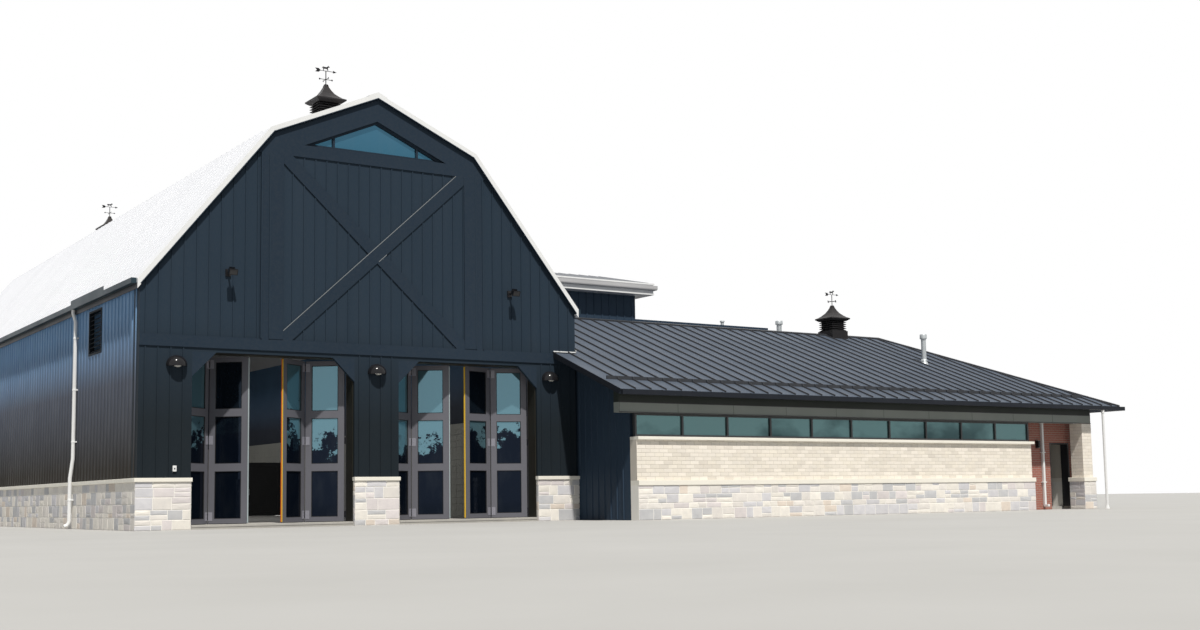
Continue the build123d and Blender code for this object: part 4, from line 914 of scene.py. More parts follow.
def colour_faces(obj, palette, seed, together=1):
    """Gives each face, or each run of faces, a tone from a palette of (share, colour), a little varied."""
    pick = random.Random(seed)
    shares, colours = zip(*palette)
    tone = obj.data.attributes.new("tone", "FLOAT_COLOR", "FACE")
    for index, item in enumerate(tone.data):
        if index % together == 0:
            chosen = pick.choices(colours, shares)[0]
            gain = pick.uniform(0.93, 1.05)
        item.color = (*(value * gain for value in chosen), 1)


STONE_TONES = ((5, (0.86, 0.83, 0.77)), (4, (0.80, 0.77, 0.73)), (3, (0.66, 0.66, 0.69)),
               (2.6, (0.56, 0.57, 0.59)), (1.6, (0.72, 0.68, 0.68)), (1, (0.76, 0.68, 0.60)))
CREAM_TONES = ((5, (0.84, 0.79, 0.72)), (3, (0.81, 0.76, 0.68)), (1.5, (0.76, 0.71, 0.64)))
RED_TONES = ((5, (0.52, 0.225, 0.150)), (3, (0.46, 0.195, 0.130)), (1.2, (0.58, 0.265, 0.178)),
             (0.7, (0.38, 0.155, 0.112)))


def ashlar(name, u0, u1, z0, z1, seed):
    """Random ashlar in a wall's own axes: uneven courses and blocks, and tall blocks split here and there."""
    pick = random.Random(seed)
    courses = [z0]
    while z1 - courses[-1] > 0.45:
        courses.append(courses[-1] + pick.choice((0.15, 0.24, 0.30, 0.32)))
    if z1 - courses[-1] > 0.34:
        courses.append(courses[-1] + (z1 - courses[-1]) * pick.choice((0.30, 0.62)))
    courses.append(z1)
    rows = []
    for low, high in zip(courses, courses[1:]):
        joints = [u0 + pick.uniform(0.22, 0.50)]
        while joints[-1] < u1 - 0.50:
            joints.append(joints[-1] + pick.uniform(0.24, 0.56))
        if u1 - joints[-1] < 0.16:
            joints.pop()
        row = sheet_of(name, u0, u1, low, high)
        split_at(row, joints, RIGHT)
        if high - low > 0.22:
            edit(row)
            if pick_faces(row, lambda centre, way: pick.random() < 0.35):
                level = low + (high - low) * pick.choice((0.36, 0.5, 0.64))
                bpy.ops.mesh.bisect(plane_co=(0, 0, level), plane_no=UP)
            leave()
        rows.append(row)
    wall = join(rows, name)
    colour_faces(wall, STONE_TONES, seed + 1)
    return raise_blocks(wall, joint=0.015, edge=0.008, proud=0.008, crown=0.004, wobble=0.003)


class STATION_OT_stones(bpy.types.Operator):
    """Random ashlar blocks on the stone bases of the hall and the wing, round every corner"""
    bl_idname = "station.stones"
    bl_label = "Stone bases"

    def execute(self, context):
        near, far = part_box("front_stone_bases")
        low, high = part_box("wing_stone_base")
        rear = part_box("rear_stone_base")[1].y
        edge, jamb, pier = 0.016, 4.895, 0.63
        leaf_line, wing_end, front = -14.78, 22.24, WING_FRONT - 0.06
        column_left, column_back = 24.63, -17.26
        hall = (
            ("left_pier_stones", "front", near.y, near.x - edge, -jamb),
            ("middle_pier_stones", "front", near.y, -pier, pier),
            ("right_pier_stones", "front", near.y, jamb, WING_LEFT),
            ("left_jamb_stones", "right", -jamb, near.y - edge, leaf_line),
            ("middle_left_jamb_stones", "left", -pier, -leaf_line, -near.y + edge),
            ("middle_right_jamb_stones", "right", pier, near.y - edge, leaf_line),
            ("right_jamb_stones", "left", jamb, -leaf_line, -near.y + edge),
            ("left_side_stones", "left", near.x, -rear - edge, -near.y + edge),
            ("right_side_stones", "right", far.x, -3.39, 6.75),
            ("right_side_far_stones", "right", far.x, 8.25, rear + edge),
            ("rear_stones", "rear", rear, near.x - edge, far.x + edge),
        )
        wing = (
            ("wing_front_stones", "front", front, WING_LEFT, wing_end + edge),
            ("wing_front_end_stones", "right", wing_end, front - edge, PORCH_SIDE),
            ("column_front_stones", "front", low.y, column_left - edge, high.x + edge),
            ("column_left_stones", "left", column_left, -column_back - edge, -low.y + edge),
            ("column_right_stones", "right", high.x, low.y - edge, column_back + edge),
            ("column_rear_stones", "rear", column_back, -high.x - edge, -column_left + edge),
            ("wing_end_stones", "right", high.x, PORCH_TURN, high.y + edge),
            ("wing_rear_stones", "rear", high.y, -high.x - edge, -WING_LEFT),
        )
        for index, (name, side, plane, u0, u1) in enumerate(hall + wing):
            wall = ashlar(name, u0, u1, 0.0, far.z if index < len(hall) else high.z, 11 * index + 3)
            done(place(wall, wall_frame(side, plane)), "stone", closed=False)
        return {"FINISHED"}


def capping(side, plane, u0, u1, z0, z1, depth):
    """Cap stones with soft edges and thin joints over a stretch of cap."""
    count = max(1, round((u1 - u0) / 0.80))
    long = (u1 - u0) / count
    stone = soft("cap", (u0 + 0.003, -0.004, z0 - 0.002), (u0 + long - 0.003, depth, z1 + 0.003), 0.006)
    if count > 1:
        array(stone, count, (long, 0, 0))
    return place(stone, wall_frame(side, plane))


class STATION_OT_caps(bpy.types.Operator):
    """Cap stones on the stone bases and on the wing's sill"""
    bl_idname = "station.caps"
    bl_label = "Cap stones"

    def execute(self, context):
        lap, deep, thin = 0.004, 0.12, 0.08
        front, rear, jamb = FRONT - BASE_PROUD, REAR + BASE_PROUD, 4.873
        hall = (("front", front, -EAVE_X - lap, -jamb, deep), ("front", front, -0.652, 0.652, deep),
                ("front", front, jamb, EAVE_X, deep), ("left", -EAVE_X, -rear + deep, -front - deep, thin),
                ("right", EAVE_X, -3.37, 6.75, thin), ("right", EAVE_X, 8.25, rear - deep, thin),
                ("rear", rear, -EAVE_X - lap, EAVE_X + lap, deep))
        out = 0.09
        front, rear, end = WING_FRONT - out, WING_BACK + out, 22.27
        left, right, near, far = 24.60, 25.26, -17.89, -17.23
        wing = (("front", front, WING_LEFT, end + lap, out), ("right", end, front + out, PORCH_SIDE, out),
                ("front", near, left - lap, right + lap, out), ("rear", far, -right - lap, -left + lap, out),
                ("left", left, -far + out, -near - out, out), ("right", right, near + out, far - out, out),
                ("right", right, PORCH_TURN, rear - out, out), ("rear", rear, -right - lap, -WING_LEFT, out))
        sill = (("front", -17.79, WING_LEFT, end + lap, 0.14), ("right", end, -17.79 + 0.14, PORCH_SIDE, out))
        for name, stretches, low, high in (("hall_cap_stones", hall, 1.150, 1.240),
                                           ("wing_cap_stones", wing, 0.930, 1.060),
                                           ("wing_sill_stones", sill, 2.160, 2.240)):
            rows = [capping(side, plane, u0, u1, low, high, depth) for side, plane, u0, u1, depth in stretches]
            done(join(rows, name), "stone_cap")
        return {"FINISHED"}


def brick_field(name, u0, u1, z0, z1, long, tall, joint, palette, seed):
    """Running-bond bricks over a rectangle in a wall's own axes, each with sloped edges and its own tone."""
    rows = []
    for aside, lift in ((0, 0), (long / 2, tall)):
        row = sheet_of(name, u0 - long + aside, u0 + aside, z0 + lift, z0 + lift + tall)
        raise_blocks(row, joint, edge=0.004, proud=0.005)
        rows.append(array(row, int((u1 - u0) / long) + 2, (long, 0, 0)))
    field = join(rows, name)
    array(field, int((z1 - z0) / (2 * tall)) + 1, (0, 0, 2 * tall))
    colour_faces(field, palette, seed, together=5)
    for point, normal in (((u0, 0, 0), LEFT), ((u1, 0, 0), RIGHT), ((0, 0, z1), UP)):
        cut(field, point, normal, fill=False)
    return field


def open_hole(obj, u0, u1, z0, z1):
    """Removes the faces of obj inside a rectangle of the wall's own axes."""
    split_at(obj, (u0, u1), RIGHT)
    split_at(obj, (z0, z1), UP)
    edit(obj)
    if pick_faces(obj, lambda centre, way: u0 < centre.x < u1 and z0 < centre.z < z1):
        bpy.ops.mesh.delete(type="FACE")
    leave()


class STATION_OT_bricks(bpy.types.Operator):
    """Cream brick on the wing and its column, and red brick in the porch"""
    bl_idname = "station.bricks"
    bl_label = "Brickwork"

    def execute(self, context):
        cream, red = (0.300, 0.106, 0.009, CREAM_TONES), (0.215, 0.0765, 0.010, RED_TONES)
        low, sill, top, out = 1.060, 2.160, 2.88, 0.005
        (left, right), (near, far) = COLUMN_X, COLUMN_Y
        walls = (
            ("wing_front_bricks", "front", WING_FRONT, WING_LEFT, WALL_END + out, low, sill, cream, None),
            ("wing_front_end_bricks", "right", WALL_END, WING_FRONT - out, PORCH_SIDE, low, sill, cream, None),
            ("column_front_bricks", "front", near, left - out, right + out, low, top, cream, None),
            ("column_left_bricks", "left", left, -far - out, -near + out, low, top, cream, None),
            ("column_right_bricks", "right", right, near - out, far + out, low, top, cream, None),
            ("column_rear_bricks", "rear", far, -right - out, -left + out, low, top, cream, None),
            ("wing_end_bricks", "right", WING_END, PORCH_TURN, WING_BACK + out, low, 4.3, cream,
             (-15.30, -4.964, 2.24, top)),
            ("wing_rear_bricks", "rear", WING_BACK, -WING_END - out, -WING_LEFT, low, 3.6, cream,
             (-23.37, -7.77, 2.24, top)),
            ("porch_bricks", "front", PORCH_BACK, WALL_END, WING_END + out, 0.0, 3.9, red,
             (23.85, 24.85, -0.1, 2.25)),
            ("porch_side_bricks", "right", WALL_END, PORCH_SIDE, PORCH_BACK, 0.0, 3.6, red, None),
            ("porch_corner_bricks", "right", WING_END, PORCH_BACK - out, PORCH_TURN, 0.0, 3.9, red, None),
        )
        for index, (name, side, plane, u0, u1, z0, z1, kind, hole) in enumerate(walls):
            field = brick_field(name, u0, u1, z0, z1, *kind, 5 * index + 1)
            if hole:
                open_hole(field, *hole)
            place(field, wall_frame(side, plane))
            for eave, away in ((FRONT_EAVE, FRONT_OUT), (REAR_EAVE, REAR_OUT), (END_EAVE, END_OUT)):
                cut(field, lifted(eave, -0.16), away, fill=False)
            look, slot = ("red_brick", "red_brick") if kind is red else ("cream_brick", "pale_brick")
            done(field, look, closed=False)
        return {"FINISHED"}


def ringed(name, low, high, wide, axis):
    """A flat ring between two corners, open along an axis."""
    ring = block(name, low, high)
    edit(ring)
    pick_facing(ring, [float(i == axis) for i in range(3)], either=True)
    bpy.ops.mesh.inset(thickness=wide, use_individual=True)
    bpy.ops.mesh.bridge_edge_loops()
    leave()
    return ring


def twin(obj, name):
    """A copy of obj with a mesh of its own."""
    alone(obj)
    bpy.ops.object.duplicate()
    made = bpy.context.object
    made.name = name
    return made


def drop(objects):
    """Removes the patterns that copies were made from."""
    for obj in objects:
        bpy.data.objects.remove(obj, do_unlink=True)


def head(name, place_at, radius, tall, way=FORWARD):
    """A bolt head with six sides and a narrower crown, standing on a face that looks along way."""
    turn = Vector(UP).rotation_difference(Vector(way))
    bolt = primitive(name, bpy.ops.mesh.primitive_cylinder_add, vertices=6, radius=radius, depth=tall,
                     rotation=turn.to_euler(), location=Vector(place_at) + Vector(way) * tall / 2)
    return taper(bolt, way, (0.7, 0.7, 0.7))


def reach(start, *offsets):
    """Two or more places beyond a start, in rising order."""
    return sorted(start + offset for offset in offsets)


BAY_LEFTS = (("left", -4.895, (42, 36)), ("right", 0.63, (34.4, 19.4)))
BAY_WIDE, BAY_HEAD = 4.265, 4.306
LEAF_LONG, LEAF_THICK, LEAF_TALL = 1.045, 0.060, 4.176
LEAF_FOOT, LEAF_END, DOOR_LINE = 0.115, 0.0143, -14.30
LITES = tuple((low, low + 1.18533) for low in (0.12, 1.49533, 2.87067))
HINGE_LEVELS = tuple(share * LEAF_TALL for share in (0.042, 0.5, 0.96))


def leaf_frames():
    """The four leaves of each bay: bay, side, whether hinged at the jamb, and the leaf's own axes."""
    for bay, left, folds in BAY_LEFTS:
        for side, fold in zip((1, -1), folds):
            turn = math.radians(fold)
            jamb = left + LEAF_END if side > 0 else left + BAY_WIDE - LEAF_END
            home = Matrix.Translation((jamb, DOOR_LINE, LEAF_FOOT)) @ Matrix.Diagonal((side, 1, 1, 1))
            joint = Matrix.Translation((LEAF_LONG * math.cos(turn) + LEAF_THICK * math.sin(turn),
                                        LEAF_LONG * math.sin(turn) - LEAF_THICK * math.cos(turn), 0))
            yield bay, side, True, home @ Matrix.Rotation(turn, 4, "Z")
            yield bay, side, False, home @ joint @ Matrix.Rotation(-turn, 4, "Z")


class STATION_OT_door_fittings(bpy.types.Operator):
    """Glazing beads, hinge plates with bolts, brush seals and edge strips on the folding leaves"""
    bl_idname = "station.door_fittings"
    bl_label = "Folding door fittings"

    def execute(self, context):
        bare, plate = LEAF_END + 0.16, 0.007
        patterns = {}
        for near in (True, False):
            back = -LEAF_THICK if near else 0.0
            beads = [ringed("bead", (bare, y0 + back, low), (LEAF_LONG - bare, y1 + back, high), 0.015, 1)
                     for low, high in LITES for y0, y1 in ((0.003, 0.0235), (0.0365, 0.057))]
            beads.append(soft("seal", (0.03, back + 0.022, -0.013), (LEAF_LONG - 0.03, back + 0.038, 0.004),
                              0.003))
            plates = []
            faces = [(back, -1, LEAF_LONG - 0.125 if near else LEAF_END + 0.006)]
            if near:
                faces.append((0.0, 1, LEAF_END + 0.006))
            for y, way, x in faces:
                y0, y1 = reach(y, 0, way * plate)
                for level in HINGE_LEVELS:
                    plates.append(soft("plate", (x, y0, level - 0.11), (x + 0.105, y1, level + 0.11), 0.002))
                    for up in (-0.075, 0.0, 0.075):
                        plates.append(head("bolt", (x + 0.052, y + way * plate, level + up), 0.011, plate,
                                           (0, way, 0)))
            patterns[near] = (join(beads, "bead_pattern"), join(plates, "plate_pattern"))
        end = LEAF_LONG - LEAF_END
        wide_strip, outer_strip, inner_strip = [
            soft("edge_pattern", (end, y0, 0.01), (end + long, y1, LEAF_TALL - 0.02), round_off, 2)
            for y0, y1, long, round_off in ((0.008, 0.052, 0.024, 0.008), (0.004, 0.029, 0.020, 0.006),
                                            (0.031, 0.056, 0.020, 0.006))]
        edges = {("left", 1): ((wide_strip, "pale_edge"),), ("right", 1): ((wide_strip, "pale_edge"),),
                 ("left", -1): ((outer_strip, "yellow_edge"), (inner_strip, "orange_edge")),
                 ("right", -1): ((wide_strip, "yellow_edge"),)}
        beads, plates = [], []
        for bay, side, near, axes in leaf_frames():
            for pattern, kept in zip(patterns[near], (beads, plates)):
                kept.append(place(twin(pattern, "copy"), axes))
            if not near:
                for strip, look in edges[bay, side]:
                    name = f"{bay}_bay_{'first' if side > 0 else 'second'}_{look}"
                    done(place(twin(strip, name), axes), look)
        done(join(beads, "door_glazing_beads"), "rubber")
        done(join(plates, "door_hinge_plates"), "plate_metal")
        drop([*patterns[True], *patterns[False], wide_strip, outer_strip, inner_strip])
        return {"FINISHED"}


class STATION_OT_bay_linings(bpy.types.Operator):
    """Dark metal linings of the bays' sides and heads, and the thresholds"""
    bl_idname = "station.bay_linings"
    bl_label = "Bay linings"

    def execute(self, context):
        sheets, sills = [], []
        back, thick = FRONT + 0.449, 0.026
        for _, left, _ in BAY_LEFTS:
            right = left + BAY_WIDE
            for x0, x1 in ((left - 0.004, left + thick), (right - thick, right + 0.004)):
                sheets.append(soft("side", (x0, FRONT + 0.072, 0.1), (x1, back, BAY_HEAD - 0.001), 0.003))
            sheets.append(soft("head", (left + thick, FRONT + 0.10, BAY_HEAD - 0.022),
                               (right - thick, back, BAY_HEAD + 0.002), 0.003))
            sill = block("sill", (left + 0.03, FRONT - 0.012, 0.055), (right - 0.03, FRONT + 0.30, 0.108))
            edit(sill, "EDGE")
            pick_edges(sill, lambda edge: min(v.co.z for v in edge.verts) > 0.1)
            bpy.ops.mesh.bevel(offset=0.006, segments=2)
            leave()
            sills.append(sill)
        done(join(sheets, "bay_side_linings"), "bay_lining")
        done(join(sills, "bay_thresholds"), "concrete")
        return {"FINISHED"}


class STATION_OT_interior(bpy.types.Operator):
    """Painted block inside the hall, and the side door's leaf standing open"""
    bl_idname = "station.interior"
    bl_label = "Hall lining and side door"

    def execute(self, context):
        top, foot, long, tall, proud = 3.05, 0.10, 0.40, 0.20, 0.012
        fields = []
        for name, side, plane, u0, u1, hole in (
                ("left", "right", -5.89 + proud, -14.30, 14.55, None),
                ("right", "left", 5.89 - proud, -14.55, 14.30, (-8.25, -6.75, 0.0, 2.25)),
                ("rear", "front", 14.55 - proud, -5.87, 5.87, None)):
            row = sheet_of(name, u0, u0 + long, foot, foot + tall)
            raise_blocks(row, joint=0.010, edge=0.006, proud=0.004)
            array(row, int((u1 - u0) / long), (long, 0, 0))
            array(row, int((top - foot) / tall), (0, 0, tall))
            back = sheet_of(name, u0, u1, foot, top)
            if hole:
                open_hole(row, *hole)
                open_hole(back, *hole)
            shift(back, (0, 0.006, 0))
            fields.append(place(join([row, back], name), wall_frame(side, plane)))
        done(join(fields, "hall_block_lining"), "painted_block", closed=False)
        faces = ((6.69, -1), (6.735, 1))
        leaf = soft("side_door_leaf", (4.42, faces[0][0], 0.115), (5.878, faces[1][0], 2.24), 0.003)
        edit(leaf)
        pick_facing(leaf, BACKWARD, either=True)
        bpy.ops.mesh.inset(thickness=0.14, use_individual=True)
        bpy.ops.mesh.inset(thickness=0.012, depth=-0.008, use_individual=True)
        leave()
        done(leaf, "window_frame")
        bars, x0, x1 = [], 4.50, 4.524
        for y, way in faces:
            y0, y1 = reach(y, 0, way * 0.05)
            bars += [block("post", (x0, y0, z - 0.012), (x1, y1, z + 0.012)) for z in (0.98, 1.16)]
            y0, y1 = reach(y, way * 0.045, way * 0.065)
            bars.append(soft("grip", (x0, y0, 0.94), (x1, y1, 1.20), 0.005))
        done(join(bars, "side_door_pulls"), "steel")
        return {"FINISHED"}


class STATION_OT_gable_boards(bpy.types.Operator):
    """Upright boards beside the braced panel, and the battens that close their outer edges"""
    bl_idname = "station.gable_boards"
    bl_label = "Gable uprights"

    def execute(self, context):
        groups = (("gable_uprights", (-2.95, 2.60), 0.35, 0.012, 0.003, "trim", "dark_trim"),
                  ("gable_upright_battens", (-3.197, -2.979, 2.941, 3.159), 0.038, 0.020, 0.004, "board",
                   "dark_board"))
        for name, places, wide, proud, round_off, look, slot in groups:
            rows = []
            for face, way in TRIM_FACES:
                y0, y1 = reach(face, -way * 0.003, way * proud)
                rows += [soft(name, (x, y0, BAND_Z + 0.002), (x + wide, y1, BEAM_Z - 0.002), round_off)
                         for x in places]
            done(join(rows, name), look)
        return {"FINISHED"}


def shell_of_dome(name, x, z, radius, deep, tall):
    """Half of a hollow dome against the front wall, open below, with a rolled lip."""
    dome = primitive(name, bpy.ops.mesh.primitive_uv_sphere_add, (radius, deep, tall), segments=40,
                     ring_count=20, radius=1, location=(x, FRONT, z))
    for normal in ((0, 0, -1), BACKWARD):
        cut(dome, (x, FRONT, z), normal, fill=False)
    edit(dome, "EDGE")
    pick_edges(dome, lambda edge: edge.is_boundary and max(v.co.z for v in edge.verts) < z + 0.002)
    bpy.ops.mesh.extrude_region_move(TRANSFORM_OT_translate={"value": (0, 0, -0.035)})
    leave()
    alone(dome)
    wall = dome.modifiers.new("Wall", "SOLIDIFY")
    wall.thickness = 0.008
    bpy.ops.object.modifier_apply(modifier=wall.name)
    return smooth(dome, 40)


class STATION_OT_lamps(bpy.types.Operator):
    """Gloss dome lamps over the piers, floodlights on the gable and the porch lamp"""
    bl_idname = "station.lamps"
    bl_label = "Wall lamps"

    def execute(self, context):
        shells, plates, lenses, flood_glass = [], [], [], []
        y = FRONT
        for x, z in ((-5.28, 3.965), (0.0, 3.955), (5.32, 3.955)):
            shells.append(shell_of_dome("dome", x, z, radius=0.255, deep=0.24, tall=0.235))
            plates.append(soft("plate", (x - 0.15, y - 0.018, z - 0.03), (x + 0.15, y + 0.002, z + 0.20),
                               0.006))
            bulb = primitive("bulb", bpy.ops.mesh.primitive_uv_sphere_add, (1.1, 0.9, 0.62), segments=24,
                             ring_count=12, radius=0.085, location=(x, y - 0.10, z - 0.012))
            cut(bulb, (x, y - 0.1, z + 0.012), UP)
            lenses.append(smooth(bulb, 40))
            plates.append(block("stem", (x - 0.02, y - 0.12, z + 0.01), (x + 0.02, y - 0.01, z + 0.05)))
        z, tilt = 6.30, math.radians(25)
        for x in (-4.03, 4.03):
            plates.append(soft("plate", (x - 0.07, y - 0.045, z - 0.09), (x + 0.07, y - 0.001, z + 0.09),
                               0.006))
            plates.append(soft("arm", (x - 0.02, y - 0.27, z - 0.02), (x + 0.02, y - 0.04, z + 0.02), 0.005))
            case = block("case", (-0.11, -0.085, -0.075), (0.11, 0.085, 0.075))
            soften(taper(case, BACKWARD, (0.78, 1, 0.70)), 0.010, 2)
            axes = Matrix.Translation((x, y - 0.33, z)) @ Matrix.Rotation(tilt, 4, "X")
            fins = [soft("fin", (u - 0.004, 0.02, 0.045), (u + 0.004, 0.10, 0.088), 0.0015)
                    for u in (-0.06, -0.03, 0.0, 0.03, 0.06)]
            shells.append(place(join([case, *fins], "case"), axes))
            bezel = ringed("bezel", (-0.108, -0.094, -0.073), (0.108, -0.083, 0.073), 0.012, 1)
            plates.append(place(bezel, axes))
            sheet = block("glass", (-0.097, -0.090, -0.062), (0.097, -0.084, 0.062))
            flood_glass.append(place(taper(sheet, FORWARD, (0.98, 1, 0.97)), axes))
        x, y, z = 23.2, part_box("porch_brick_wall")[0].y + 0.30, 2.19
        plates.append(soft("plate", (x - 0.06, y - 0.03, z - 0.14), (x + 0.06, y + 0.002, z + 0.14), 0.005))
        case = block("porch_case", (x - 0.055, y - 0.13, z - 0.12), (x + 0.055, y - 0.028, z + 0.12))
        shells.append(soften(taper(case, FORWARD, (0.86, 1, 0.94)), 0.008, 2))
        for level in (z - 0.125, z + 0.118):
            lenses.append(soft("glass", (x - 0.045, y - 0.12, level), (x + 0.045, y - 0.04, level + 0.007),
                               0.002))
        domes = done(join(shells, "lamp_bodies"), "black_metal")
        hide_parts("wall_lamps")
        done(join(plates, "lamp_plates"), "black_metal")
        done(join(lenses, "lamp_lenses"), "lens")
        done(join(flood_glass, "floodlight_glass"), "dark_lens")
        return {"FINISHED"}


def pipe_along(name, points, radius):
    """A round pipe through points: a line drawn point by point, given a round section as a curve."""
    line = primitive(name, bpy.ops.mesh.primitive_plane_add, size=radius, location=points[0])
    edit(line, "VERT", "SELECT")
    bpy.ops.mesh.merge(type="CENTER")
    for before, after in zip(points, points[1:]):
        step = tuple(b - a for a, b in zip(before, after))
        bpy.ops.mesh.extrude_region_move(TRANSFORM_OT_translate={"value": step})
    leave()
    alone(line)
    bpy.ops.object.convert(target="CURVE")
    line = bpy.context.object
    line.data.bevel_depth = radius
    line.data.bevel_resolution = 3
    line.data.use_fill_caps = True
    bpy.ops.object.convert(target="MESH")
    line = bpy.context.object
    edit(line, action="SELECT")
    bpy.ops.mesh.remove_doubles(threshold=0.0002)
    bpy.ops.mesh.normals_make_consistent(inside=False)
    leave()
    return smooth(line)


def collar(name, x, y, z, radius, tall, flare=1.0, sides=24):
    """A short ring round a pipe, wider below when it flares."""
    ring = primitive(name, bpy.ops.mesh.primitive_cylinder_add, vertices=sides, radius=radius, depth=tall,
                     location=(x, y, z + tall / 2))
    edit(ring)
    pick_facing(ring, UP)
    bpy.ops.transform.resize(value=(1 / flare, 1 / flare, 1))
    bpy.ops.mesh.inset(thickness=radius * 0.04, depth=tall * 0.08)
    leave()
    return smooth(ring)


class STATION_OT_downspouts(bpy.types.Operator):
    """Rain pipes: the hall's with its offset round the stone cap, the porch's square one and the eave's"""
    bl_idname = "station.downspouts"
    bl_label = "Downspouts"

    def execute(self, context):
        y, high, low = -9.23, -6.265, -6.330
        route = ((-6.335, 5.90), (-6.335, 5.80), (-6.32, 5.75), (high - 0.015, 5.62), (high, 5.56),
                 (high, 1.86), (high - 0.01, 1.79), (low + 0.01, 1.42), (low, 1.35), (low, 0.22),
                 (low - 0.012, 0.16), (low - 0.055, 0.095), (low - 0.13, 0.070))
        pipe = pipe_along("hall_pipe", [(x, y, z) for x, z in route], 0.050)
        straps = []
        for x, z in ((high, 5.10), (high, 3.70), (high, 2.30), (low, 0.75)):
            straps.append(collar("strap", x, y, z, 0.055, 0.045))
            straps.append(block("lug", (x + 0.03, y - 0.075, z + 0.004), (x + 0.085, y + 0.075, z + 0.041)))
        y, x0, x1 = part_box("porch_brick_wall")[0].y + 0.30, 23.396, 23.484
        porch = soft("porch_pipe", (x0, y - 0.095, 0.16), (x1, y - 0.007, 3.74), 0.010, 2)
        foot = soft("foot", (x0, y - 0.22, 0.10), (x1, y - 0.02, 0.18), 0.010, 2)
        straps += [soft("strap", (23.35, y - 0.100, z), (23.53, y - 0.001, z + 0.035), 0.002)
                   for z in (0.9, 1.9, 2.9)]
        x, y = 25.3, -18.222
        eave = pipe_along("eave_pipe", ((x, y, 0.02), (x, y, 3.33)), 0.045)
        straps.append(collar("eave_foot", x, y, 0.0, 0.075, 0.10, flare=1.4))
        straps.append(collar("eave_outlet", x, y, 3.22, 0.055, 0.10))
        body = done(join([pipe, porch, foot, eave], "rain_pipes"), "white_trim")
        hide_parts("downspouts")
        done(join(straps, "rain_pipe_straps"), "white_trim")
        return {"FINISHED"}


class STATION_OT_vents(bpy.types.Operator):
    """Vent pipes with their caps and storm collars"""
    bl_idname = "station.vents"
    bl_label = "Vent pipes"

    def execute(self, context):
        pipes, sides = [], 32
        for x, y, radius, top, cap in ((18.78, -9.25, 0.095, 6.99, 0.1425), (21.40, -13.87, 0.085, 6.15, 0.17),
                                       (16.11, -9.25, 0.060, 6.85, 0.06)):
            roof = WING_RIDGE[1] - abs(y - WING_RIDGE[0]) * math.tan(WING_LEAN)
            base = roof - 0.10
            pipe = primitive("pipe", bpy.ops.mesh.primitive_cylinder_add, vertices=sides, radius=radius,
                             depth=top - cap - base, location=(x, y, (top - cap + base) / 2))
            edit(pipe)
            pick_facing(pipe, UP)
            for wider, rise in ((1.45, 0.012), (1.0, cap - 0.03), (0.94, 0.018)):
                bpy.ops.mesh.extrude_region_move(TRANSFORM_OT_translate={"value": (0, 0, rise)})
                bpy.ops.transform.resize(value=(wider, wider, 1))
            bpy.ops.mesh.inset(thickness=radius * 0.18, depth=-0.05)
            leave()
            pipes.append(smooth(pipe))
            pipes.append(collar("storm_collar", x, y, roof + 0.10, radius * 1.45, 0.055, 1.38, sides))
            pipes.append(collar("flashing_cone", x, y, roof - 0.08, radius * 1.9, 0.19, 1.75, sides))
        body = done(join(pipes, "flue_and_vents"), "steel")
        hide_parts("vent_pipes")
        return {"FINISHED"}


class STATION_OT_block_roof(bpy.types.Operator):
    """Layered fascia, gutter and standing seams of the raised block's hipped roof"""
    bl_idname = "station.block_roof"
    bl_label = "Raised block's roof"

    def execute(self, context):
        near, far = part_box("raised_block_roof")

        def ring(name, out, low, high, wide):
            return ringed(name, (5.0, near.y - out, low), (far.x + out, far.y + out, high), wide, 2)

        lips = [ring("lip", 0.035, 7.785, 7.832, 0.06), ring("lip", 0.020, 7.440, 7.490, 0.05)]
        done(join(lips, "block_fascia_lips"), "white_trim")
        gutter = ring("block_gutter", 0.11, 7.585, 7.745, 0.125)

        def outer_foot(edge):
            xs, ys, zs = zip(*(v.co for v in edge.verts))
            beyond = max(ys) < near.y - 0.1 or min(ys) > far.y + 0.1 or min(xs) > far.x + 0.1
            return max(zs) < 7.6 and beyond

        edit(gutter, "EDGE")
        pick_edges(gutter, outer_foot)
        bpy.ops.mesh.bevel(offset=0.06, segments=3)
        leave()
        done(gutter, "block_gutter")
        top, peak, end, step, wide, tall = 7.82, far.z, far.x, 0.42, 0.026, 0.028
        middle, half = (near.y + far.y) / 2, (far.y - near.y) / 2
        lean, run = math.atan2(peak - top, half), math.hypot(peak - top, half) - 0.03
        lean_in, lean_up, diagonal = math.cos(lean), math.sin(lean), 1 / math.sqrt(2)
        along = [end - step * (i + 0.5) for i in range(16)]
        count = int((2 * half - 0.3) / step)
        rows = []
        for side, eave in ((1, near.y), (-1, far.y)):
            places = [side * x for x in (along if side < 0 else along[::-1])]
            up = (0, side * lean_in, lean_up)
            row = seams("seam", (0, eave, top), (side, 0, 0), up, run, places, wide, tall)
            cut(row, (end, eave, top), (diagonal, -side * diagonal, 0))
            rows.append(row)
        places = [middle + step * (i - (count - 1) / 2) for i in range(count)]
        row = seams("seam", (end, 0, top), BACKWARD, (-lean_in, 0, lean_up), run, places, wide, tall)
        for side, eave in ((1, near.y), (-1, far.y)):
            cut(row, (end, eave, top), (-diagonal, -side * diagonal, 0))
        rows.append(row)
        done(join(rows, "block_roof_seams"), "block_roof")
        return {"FINISHED"}


